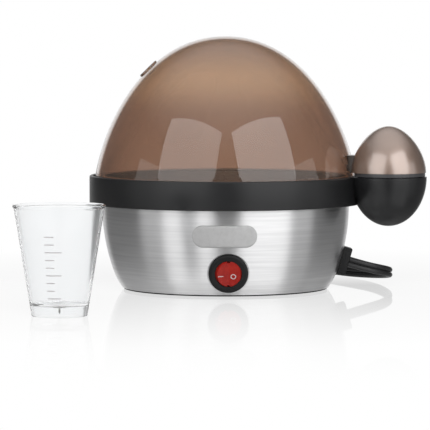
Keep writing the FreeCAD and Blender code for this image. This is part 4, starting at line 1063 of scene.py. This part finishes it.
def make_bowl():
    """Steel bowl with turned-in edges and the flat pressed for the switch."""
    outside, inside = bowl_side(0), bowl_side(BOWL_WALL)
    opening = outside[-1][0] - BOWL_FOOT_FLANGE
    outline = [(BOWL_MOUTH_R, BOWL_TOP_Z), (BOWL_R, BOWL_TOP_Z)] + outside
    outline += [(opening, BOWL_FOOT_Z), (opening, BOWL_FOOT_Z + BOWL_WALL)] + inside[::-1]
    outline += [(BOWL_R - BOWL_WALL, BOWL_TOP_Z - BOWL_WALL), (BOWL_MOUTH_R, BOWL_TOP_Z - BOWL_WALL)]
    bowl = lathe("bowl", outline, FINE_STEPS)
    seat = place_at(*switch_axes())
    cut(bowl, move(rod("way", LAND_R, -LAND_R, LAND_R), seat))
    land_in_r = SWITCH_BODY_R + LAND_GAP
    land = lathe("land", rounded([
        (land_in_r, -BOWL_WALL, 0), (LAND_R, -BOWL_WALL, 0), (LAND_R, LAND_GAP, LAND_GAP),
        (land_in_r, 0, 0),
    ]))
    bring_in(bowl, move(land, seat))
    return dress(bowl, STEEL, "base", "brushed_steel", "outer_bowl")


def make_pan():
    """Drawn pan: rim bead, wall, flange, tray step, well and floor."""
    flange_r = PAN_R - PAN_FLANGE
    step_r = flange_r - PAN_STEP
    floor_r = step_r - PAN_DRAFT
    bend = PAN_BEND / 2
    tight = bend - PAN_SHEET / 2
    loose = bend + PAN_SHEET / 2
    sheet = PAN_SHEET
    outline = rounded([
        (0, PAN_FLOOR_Z, 0), (floor_r, PAN_FLOOR_Z, PAN_BEND), (step_r, PAN_TRAY_Z, tight),
        (flange_r, PAN_TRAY_Z, loose), (flange_r, SHELF_Z, tight), (PAN_R, SHELF_Z, loose),
        (PAN_R, PAN_RIM_Z, 0), (PAN_R - sheet, PAN_RIM_Z, 0), (PAN_R - sheet, SHELF_Z + sheet, tight),
        (flange_r - sheet, SHELF_Z + sheet, loose), (flange_r - sheet, PAN_TRAY_Z + sheet, tight),
        (step_r - sheet, PAN_TRAY_Z + sheet, loose),
        (floor_r - sheet, PAN_FLOOR_Z + sheet, PAN_BEND - sheet), (0, PAN_FLOOR_Z + sheet, 0),
    ], 5)
    pan = lathe("pan", outline, FINE_STEPS)
    bead_ring = arc((PAN_R - PAN_SHEET / 2, PAN_RIM_Z), PAN_BEAD, 0, 2 * math.pi, 16)[:-1]
    bring_in(pan, lathe("bead", bead_ring, FINE_STEPS))
    return dress(pan, PAN_STEEL, "base", "pan_steel", "heating_pan")


def make_foot():
    """Rubber ring that the boiler stands on."""
    inner, outer = FOOT_R - FOOT_W / 2, FOOT_R + FOOT_W / 2
    outline = [(inner, 0, FOOT_EDGE), (outer, 0, FOOT_EDGE), (outer, FOOT_H, 0), (inner, FOOT_H, 0)]
    foot = lathe("rubber_foot", rounded(outline))
    return dress(foot, RUBBER_BLACK, "base", "foot_rubber", "foot_ring")


# Switch
def make_bezel():
    """Round bezel with a soft outer edge, a shallow cone round the rocker and the body behind."""
    mouth = ROCKER_R + ROCKER_GAP
    ball = math.hypot(ROCKER_R, ROCKER_PIVOT) + ROCKER_GAP
    lip = BEZEL_T - ROCKER_DROP
    depth = lip - ROCKER_PIVOT
    floor_z = depth - ROCKER_PIVOT * 2
    outline = rounded([
        (mouth, lip, 0), (BEZEL_CREST_R, BEZEL_T, BEZEL_CREST_ROUND), (BEZEL_R, lip, BEZEL_ROUND),
        (BEZEL_R, 0, 0), (SWITCH_BODY_R, 0, 0), (SWITCH_BODY_R, -SWITCH_BODY_L, 0),
        (0, -SWITCH_BODY_L, 0), (0, floor_z, 0), (ball * HOLLOW_FLOOR_SHARE, floor_z, 0),
    ], 6)
    start = math.asin((-ROCKER_PIVOT * 2) / ball)
    end = math.asin(ROCKER_PIVOT / ball)
    hollow = arc((0, depth), ball, start, end, 16)
    bezel = lathe("switch_ring", outline + hollow[:-1])
    move(bezel, place_at(*switch_axes()))
    return dress(bezel, HOUSING_BLACK, "base", "black_housing", "switch_bezel")


def make_rocker():
    """Red rocker in the off position, its round side on a ball about the pivot."""
    ball_r = math.hypot(ROCKER_R, ROCKER_PIVOT)
    top = BEZEL_T - ROCKER_DROP
    centre_z = top - ROCKER_PIVOT
    rise = math.tan(math.radians(ROCKER_ANGLE))
    reach = ROCKER_R + OVERRUN
    depth = ROCKER_PIVOT * ROCKER_DEPTH_SHARE
    outline = [
        (-reach, rise * ROCKER_FACE - ROCKER_SLANT), (-ROCKER_FACE, rise * ROCKER_FACE), (0, 0),
        (ROCKER_FACE, 0), (reach, -ROCKER_SLANT), (reach, -depth), (-reach, -depth),
    ]
    wedge = prism("switch_rocker_piece", outline, -ROCKER_R * 2, ROCKER_R * 2)
    move(wedge, Matrix.Translation((0, 0, top)) @ Matrix.Rotation(math.pi / 2, 4, "X"))
    half_circle = arc((0, 0), ball_r, -math.pi / 2, math.pi / 2, 48)
    keep(wedge, lathe("ball", [(r, z + centre_z) for r, z in half_circle]))
    notch_y = ROCKER_R - NOTCH_D
    for side in (-1, 1):
        size = (NOTCH_W, NOTCH_D * 4, depth)
        cut(wedge, block("notch", size, (0, side * (notch_y + NOTCH_D * 2), top - NOTCH_W)))
    bevel_edges(wedge, ROCKER_EDGE, 40)
    move(wedge, place_at(*switch_axes()))
    return dress(wedge, RED, "rocker", "red_rocker", "switch_rocker")


def make_marks():
    """White bar on the raised half and white ring on the level half of the rocker."""
    top = BEZEL_T - ROCKER_DROP
    slope = math.radians(ROCKER_ANGLE)
    bar = block("mark_bar", (BAR_LENGTH, MARK_W, MARK_T * 2), (0, 0, -MARK_T), MARK_W * 0.45)
    reach = -BAR_AT[0]
    lift = Matrix.Translation((-reach * math.cos(slope), BAR_AT[1], top + reach * math.sin(slope)))
    move(bar, lift @ Matrix.Rotation(slope, 4, "Y"))
    move(bar, place_at(*switch_axes()))
    dress(bar, WHITE_PRINT, "rocker", "red_rocker")
    ring = lathe("mark_ring", rounded([
        (RING_MARK_R - MARK_W, -MARK_T, 0), (RING_MARK_R, -MARK_T, 0), (RING_MARK_R, MARK_T, MARK_T / 2),
        (RING_MARK_R - MARK_W, MARK_T, MARK_T / 2),
    ]), 48)
    move(ring, place_at(*switch_axes()) @ Matrix.Translation((*RING_AT, top)))
    dress(ring, WHITE_PRINT, "rocker", "red_rocker")


# Bare plate
def make_plate():
    """Bare satin pill on the front of the bowl, curved with it."""
    rows = 16
    columns = 72
    half_w, half_h = PLATE_W / 2, PLATE_H / 2
    mesh = bmesh.new()
    grid = []
    for i in range(columns + 1):
        u = -half_w + PLATE_W * (0.5 - math.cos(math.pi * i / columns) / 2)
        end = max(0.0, abs(u) - (half_w - half_h))
        reach = math.sqrt(max(TINY, half_h ** 2 - end ** 2))
        column = []
        for j in range(rows + 1):
            v = reach * (2 * j / rows - 1)
            rim = min(half_h - math.hypot(end, v), PLATE_T)
            soft = math.sin(math.pi / 2 * max(0.0, rim) / PLATE_T)
            z = PLATE_Z + v
            proud = PLATE_RIM_SHARE + (1 - PLATE_RIM_SHARE) * soft
            radius = bowl_radius(z) + PLATE_T * proud
            angle = -math.pi / 2 + (PLATE_X + u) / BOWL_R
            column.append(mesh.verts.new((radius * math.cos(angle), radius * math.sin(angle), z)))
        grid.append(column)
    for left, right in zip(grid, grid[1:]):
        for j in range(rows):
            mesh.faces.new((left[j], right[j], right[j + 1], left[j + 1]))
    plate = new_piece("bare_plate", mesh)
    change = plate.modifiers.new("back", "SOLIDIFY")
    change.thickness = PLATE_T
    change.offset = -1
    return dress(plate, PLATE_STEEL, "base", "brushed_steel")


# Cord outlet
def make_gland():
    """Chamfered block on the bowl's wall with a framed recess where the cord comes out."""
    lean = math.asin((BOWL_BELLY_Z - GLAND_Z) / BOWL_BELLY_CURVE)
    outward = Vector((math.cos(lean), 0, -math.sin(lean)))
    upward = Vector((math.sin(lean), 0, math.cos(lean)))
    wall = Vector((bowl_radius(GLAND_Z), 0, GLAND_Z))
    gland = block("cord_outlet", (GLAND_W, GLAND_H, GLAND_PROUD * 2), (0, 0, -GLAND_PROUD))
    bevel_edges(gland, GLAND_CHAMFER * GLAND_EDGE_SHARE, 30)
    recess_size = (GLAND_W * RECESS_W_SHARE, GLAND_H * RECESS_H_SHARE, RECESS_DEPTH * 2)
    cut(gland, block("recess", recess_size, (0, 0, GLAND_PROUD - RECESS_DEPTH), RECESS_BEND))
    seat = place_at(wall, outward, upward)
    move(gland, seat)
    neck = move(rod("neck", GLAND_NECK_R, -GLAND_NECK_L, GLAND_PROUD / 2, 48), seat)
    nut = move(rod("nut", GLAND_NUT_R, -GLAND_NECK_L - GLAND_NUT_T, -GLAND_NECK_L, 48), seat)
    bring_in(gland, neck, nut)
    return dress(gland, HOUSING_BLACK, "base", "black_housing", "strain_relief")


# Tray
def seat_places():
    places = [(0.0, 0.0)]
    for i in range(SEAT_COUNT):
        turn = 2 * math.pi * i / SEAT_COUNT
        places.append((SEAT_CIRCLE * math.cos(turn), SEAT_CIRCLE * math.sin(turn)))
    return places


def holed_plate(name, outer_r, holes, low, high, edge):
    """Round plate with round holes given as X, Y and radius, and softened edges."""
    data = bpy.data.curves.new(name, "CURVE")
    data.dimensions = "2D"
    data.fill_mode = "BOTH"
    data.extrude = (high - low) / 2 - edge
    data.bevel_depth = edge
    data.bevel_resolution = 2
    rims = [(0, 0, outer_r - edge, FINE_STEPS)] + [(x, y, r + edge, STEPS) for x, y, r in holes]
    for x, y, r, steps in rims:
        spline = data.splines.new("POLY")
        spline.points.add(steps - 1)
        for i, point in enumerate(spline.points):
            turn = 2 * math.pi * i / steps
            point.co = (x + r * math.cos(turn), y + r * math.sin(turn), 0, 1)
        spline.use_cyclic_u = True
    mesh = bmesh.new()
    mesh.from_mesh(curve_mesh(name, data))
    return move(new_piece(name, mesh), Matrix.Translation((0, 0, (low + high) / 2)))


def make_tray():
    """Tray with a skirt, seven collared seats, steam holes and two finger tabs."""
    rim_r = PAN_R - PAN_SHEET - PAN_FLANGE - TRAY_RIM_GAP
    low = PAN_TRAY_Z + PAN_SHEET + TRAY_FLOOR_GAP
    top = low + TRAY_SKIRT_H
    edge = TRAY_EDGE
    holes = [(x, y, SEAT_R) for x, y in seat_places()]
    for i in range(SEAT_COUNT):
        turn = 2 * math.pi * (i + 0.5) / SEAT_COUNT
        holes.append((STEAM_CIRCLE * math.cos(turn), STEAM_CIRCLE * math.sin(turn), STEAM_HOLE_R))
    tray = holed_plate("tray", rim_r, holes, top - TRAY_T, top, edge)
    skirt = lathe("skirt", rounded([
        (rim_r - TRAY_SKIRT_T, low, edge), (rim_r, low, edge), (rim_r, top - edge, 0),
        (rim_r - TRAY_SKIRT_T, top - edge, 0),
    ]), FINE_STEPS)
    bring_in(tray, skirt)
    outer = SEAT_R + SEAT_COLLAR_T
    for x, y in seat_places():
        collar = lathe("collar", rounded([
            (SEAT_R, top - TRAY_T + edge, 0), (outer, top - TRAY_T + edge, 0),
            (outer, top + SEAT_COLLAR_H, edge), (SEAT_R, top + SEAT_COLLAR_H, edge),
        ]), STEPS, (x, y))
        bring_in(tray, collar)
    half, tab_top = TAB_W / 2, TAB_H + TRAY_T
    for turn in (TAB_DEG, TAB_DEG + 180):
        outline = rounded([
            (-half, 0, 0), (half, 0, 0), (half, tab_top, TAB_ROUND), (-half, tab_top, TAB_ROUND),
        ], 8)
        tab = prism("tab", outline, -TAB_T / 2, TAB_T / 2)
        stand = Matrix.Rotation(math.pi / 2, 4, "Z") @ Matrix.Rotation(math.pi / 2, 4, "X")
        move(tab, Matrix.Translation((TAB_CIRCLE, 0, top - TRAY_T)) @ stand)
        bring_in(tray, turned(tab, turn))
    return dress(tray, MILKY, "tray", "tray_plastic", "egg_tray")


# Measuring cup
def make_cup():
    """Tapered frosted cup with a rolled lip and a raised floor."""
    slope = (CUP_RIM_R - CUP_FOOT_R) / CUP_H
    inner_rim = CUP_RIM_R - CUP_WALL
    inner_foot = CUP_FOOT_R - CUP_WALL
    top_floor = CUP_FLOOR_Z + CUP_WALL
    edge = CUP_EDGE
    bead = CUP_BEAD_R
    lip_r, lip_round = CUP_RIM_R + bead * 0.4, bead * 0.8
    outline = rounded([
        (CUP_FOOT_R, 0, edge), (CUP_RIM_R - slope * bead * 2, CUP_H - bead * 2, edge),
        (lip_r, CUP_H - bead * 2, lip_round), (lip_r, CUP_H, lip_round), (inner_rim, CUP_H, edge),
        (inner_foot + slope * top_floor, top_floor, CUP_FLOOR_BEND), (0, top_floor, 0),
        (0, CUP_FLOOR_Z, 0), (inner_foot + slope * CUP_FLOOR_Z, CUP_FLOOR_Z, edge),
        (inner_foot, 0, edge),
    ])
    cup = lathe("measuring_beaker", outline, STEPS, (CUP_X, CUP_Y))
    return dress(cup, FROST, "cup", "cup_plastic", "measuring_cup")


def cup_mark(z, half_angle, middle):
    """Thin raised line on the cup's wall, given as radians round its axis."""
    slope = (CUP_RIM_R - CUP_FOOT_R) / CUP_H
    steps = 10
    rise = Vector((0, 0, CUP_LINE_T))
    sections = []
    for i in range(steps + 1):
        angle = middle - half_angle + 2 * half_angle * i / steps
        way = Vector((math.cos(angle), math.sin(angle), 0))
        radius = CUP_FOOT_R + slope * z
        spot = Vector((CUP_X, CUP_Y, z)) + way * radius
        inner, outer = spot - way * CUP_LINE_T, spot + way * CUP_LINE_T
        sections.append([inner - rise, inner + rise, outer, outer - rise])
    return loft("cup_mark", sections)


def make_cup_marks():
    """Graduation lines on the front left of the cup, every third one longer."""
    start = -math.pi / 2 - CUP_LINES_TURN
    marks = None
    for i in range(CUP_LINES):
        half = CUP_SHORT_LINE if i % 3 else CUP_LONG_LINE
        mark = cup_mark(CUP_LINE_LOW_Z + CUP_LINE_STEP * i, half, start + half)
        marks = mark if marks is None else bring_in(marks, mark)
    marks.name = "cup_lines"
    return dress(marks, WHITE_PRINT, "cup", "cup_plastic")


def make_needle():
    """Piercing needle on its disc under the cup's floor."""
    top = CUP_FLOOR_Z - PIN_DISC_T
    tip = top - NEEDLE_L
    outline = [
        (0, CUP_FLOOR_Z), (PIN_DISC_R, CUP_FLOOR_Z), (PIN_DISC_R, top + PIN_DISC_EDGE),
        (PIN_DISC_R - PIN_DISC_EDGE, top), (NEEDLE_R, top), (NEEDLE_R * 0.9, top - NEEDLE_L * 0.7),
        (NEEDLE_R * 0.2, tip), (0, tip),
    ]
    needle = lathe("needle", outline, 32, (CUP_X, CUP_Y))
    return dress(needle, NICKEL, "cup", "needle_steel", "piercing_pin")


make_lid()
make_handle()
make_band()
make_bowl()
make_pan()
make_foot()
make_bezel()
make_rocker()
make_marks()
make_plate()
make_gland()
make_tray()
make_cup()
make_cup_marks()
make_needle()

# Pieces that stay as the frame has them
FRAME_MATERIALS = {
    "heater_plate": ALUMINIUM, "heating_element": TINTED_STEEL, "heater_terminals": CERAMIC,
    "thermostat": PHENOLIC, "thermostat_clip": SPRING_STEEL, "thermostat_screws": ZINC,
    "thermal_fuse": SLEEVE, "fuse_clip": SPRING_STEEL, "pan_studs": ZINC, "stud_nuts": ZINC,
    "base_cover": HOUSING_BLACK, "switch_terminals": BRASS, "inner_wires": SILICONE,
    "inner_cord": CORD_BLACK, "cord_clamp": HOUSING_BLACK, "clamp_screws": ZINC,
    "handle_screws": ZINC, "lid_handle_screws": ZINC,
}
for name, material in FRAME_MATERIALS.items():
    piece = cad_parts[name]
    piece.data.materials.clear()
    piece.data.materials.append(material)


# Studio
def studio_world():
    """White to the camera, dim to the rest; for gloss and through the lid bright only behind."""
    world = bpy.data.worlds.new("studio")
    bpy.context.scene.world = world
    world.use_nodes = True
    world.node_tree.nodes.clear()
    parts = axes(world, node(world, "ShaderNodeTexCoord").outputs["Generated"])
    path = node(world, "ShaderNodeLightPath").outputs

    def ramp(axis, *bounds):
        return ranged(world, parts[axis], *bounds, interpolation_type="SMOOTHSTEP")

    def light(strength):
        return white_light(world, "ShaderNodeBackground", strength)

    back_and_top = computed(world, "ADD", ramp("Y", 0.86, 0.93, 0.09, 1.0), ramp("Z", 0.48, 1.0, 0.0, 0.75))
    seen = mixed(world, path["Is Glossy Ray"], light(0.12), light(back_and_top))
    seen = mixed(world, path["Is Transmission Ray"], seen, light(ramp("Y", 0.70, 0.90, 0.3, 1.0)))
    seen = mixed(world, path["Is Camera Ray"], seen, light(1.0))
    link(world, seen, node(world, "ShaderNodeOutputWorld").inputs["Surface"])


def floor_material():
    """Floor white to the camera but for its shadow, with a mirror image that fades to the front."""
    made, shader = principled(
        "pale_floor", Base_Color=(0.55, 0.55, 0.55, 1), Roughness=0.5, Specular_IOR_Level=0.0,
    )
    place = node(made, "ShaderNodeNewGeometry").outputs["Position"]
    parts = axes(made, place)
    length = node(made, "ShaderNodeVectorMath", operation="LENGTH")
    link(made, place, length.inputs[0])
    reach = length.outputs["Value"]
    path = node(made, "ShaderNodeLightPath").outputs

    def glow(strength):
        return white_light(made, "ShaderNodeEmission", strength)

    def mirror(roughness):
        found = node(made, "ShaderNodeBsdfGlossy")
        found.inputs["Roughness"].default_value = roughness
        found.inputs["Color"].default_value = (1, 1, 1, 1)
        return found.outputs[0]

    def product(first, *others):
        for other in others:
            first = computed(made, "MULTIPLY", first, other)
        return first

    # To the camera: white, less so near the object, where the shadow shows
    whiteness = ranged(made, reach, 0.10, 0.34, 0.88, 1.0)
    plain = mixed(made, product(path["Is Camera Ray"], whiteness), shader.outputs[0], glow(1.0))

    # Through the lid and the cup: white, dim in front of both
    behind = glow(ranged(made, parts["Y"], -0.30, -0.15, 0.3, 1.0))
    plain = mixed(made, path["Is Transmission Ray"], plain, behind)

    # Mirror image in level views, in front of the object and no wider than it
    grazing = node(made, "ShaderNodeFresnel")
    grazing.inputs["IOR"].default_value = 1.35
    fade = product(ranged(made, parts["Y"], -0.52, -0.06, 0.0, 0.88), grazing.outputs["Fac"])
    beside = ranged(made, computed(made, "ABSOLUTE", parts["X"]), 0.13, 0.19, 1.0, 0.0)
    back = ranged(made, parts["Y"], 0.02, 0.10, 1.0, 0.0)
    fade = product(fade, fade, beside, back, path["Is Camera Ray"])
    plain = mixed(made, fade, plain, mirror(0.03))

    # In the object's gloss: a painted glow on the floor, brighter near the object and darker with distance,
    # half mirror
    painted_glow = glow(ranged(made, reach, 0.075, 0.125, 0.66, 0.30))
    dark = mixed(made, 0.5, painted_glow, mirror(0.12))
    reflected = computed(made, "SUBTRACT", path["Is Glossy Ray"], path["Is Transmission Ray"])
    final = mixed(made, reflected, plain, dark)
    link(made, final, made.node_tree.nodes["Material Output"].inputs["Surface"])
    return made


def make_floor():
    mesh = bmesh.new()
    signs = ((-1, -1), (1, -1), (1, 1), (-1, 1))
    mesh.faces.new([mesh.verts.new((a * FLOOR_HALF, b * FLOOR_HALF, 0)) for a, b in signs])
    floor = new_piece("studio_floor", mesh)
    floor.data.materials.append(floor_material())


def softbox(name, azimuth, elevation, distance, width, height, radiance):
    """Rectangular lamp that faces the object, given by the brightness of its face."""
    data = bpy.data.lights.new(name, "AREA")
    data.shape = "RECTANGLE"
    data.size = width
    data.size_y = height
    data.energy = radiance * math.pi * width * height
    lamp = put_in_scene(name, data)
    face(lamp, LAMP_TARGET, azimuth, elevation, distance)
    lamp.visible_camera = False
    lamp.visible_transmission = False
    return lamp


studio_world()
make_floor()
for name, azimuth, elevation, width, height, radiance in (
    ("left_softbox", -37, 22, 1.2, 1.25, 1.5), ("right_softbox", 37, 22, 1.2, 1.25, 1.8),
    ("left_strip", -74, 6, 0.55, 0.7, 0.65), ("right_strip", 74, 6, 0.55, 0.7, 0.65),
):
    panel = softbox(name, azimuth, elevation, PANEL_DISTANCE, width, height, radiance)
    panel.visible_diffuse = False
for name, azimuth, elevation, distance, size, radiance in (
    ("front_fill", 7, 30, 1.7, 0.9, 9.5), ("top_fill", 0, 84, 1.2, 1.4, 0.8),
):
    fill = softbox(name, azimuth, elevation, distance, size, size, radiance)
    fill.visible_glossy = False

view = bpy.context.scene.view_settings
view.view_transform = "Standard"
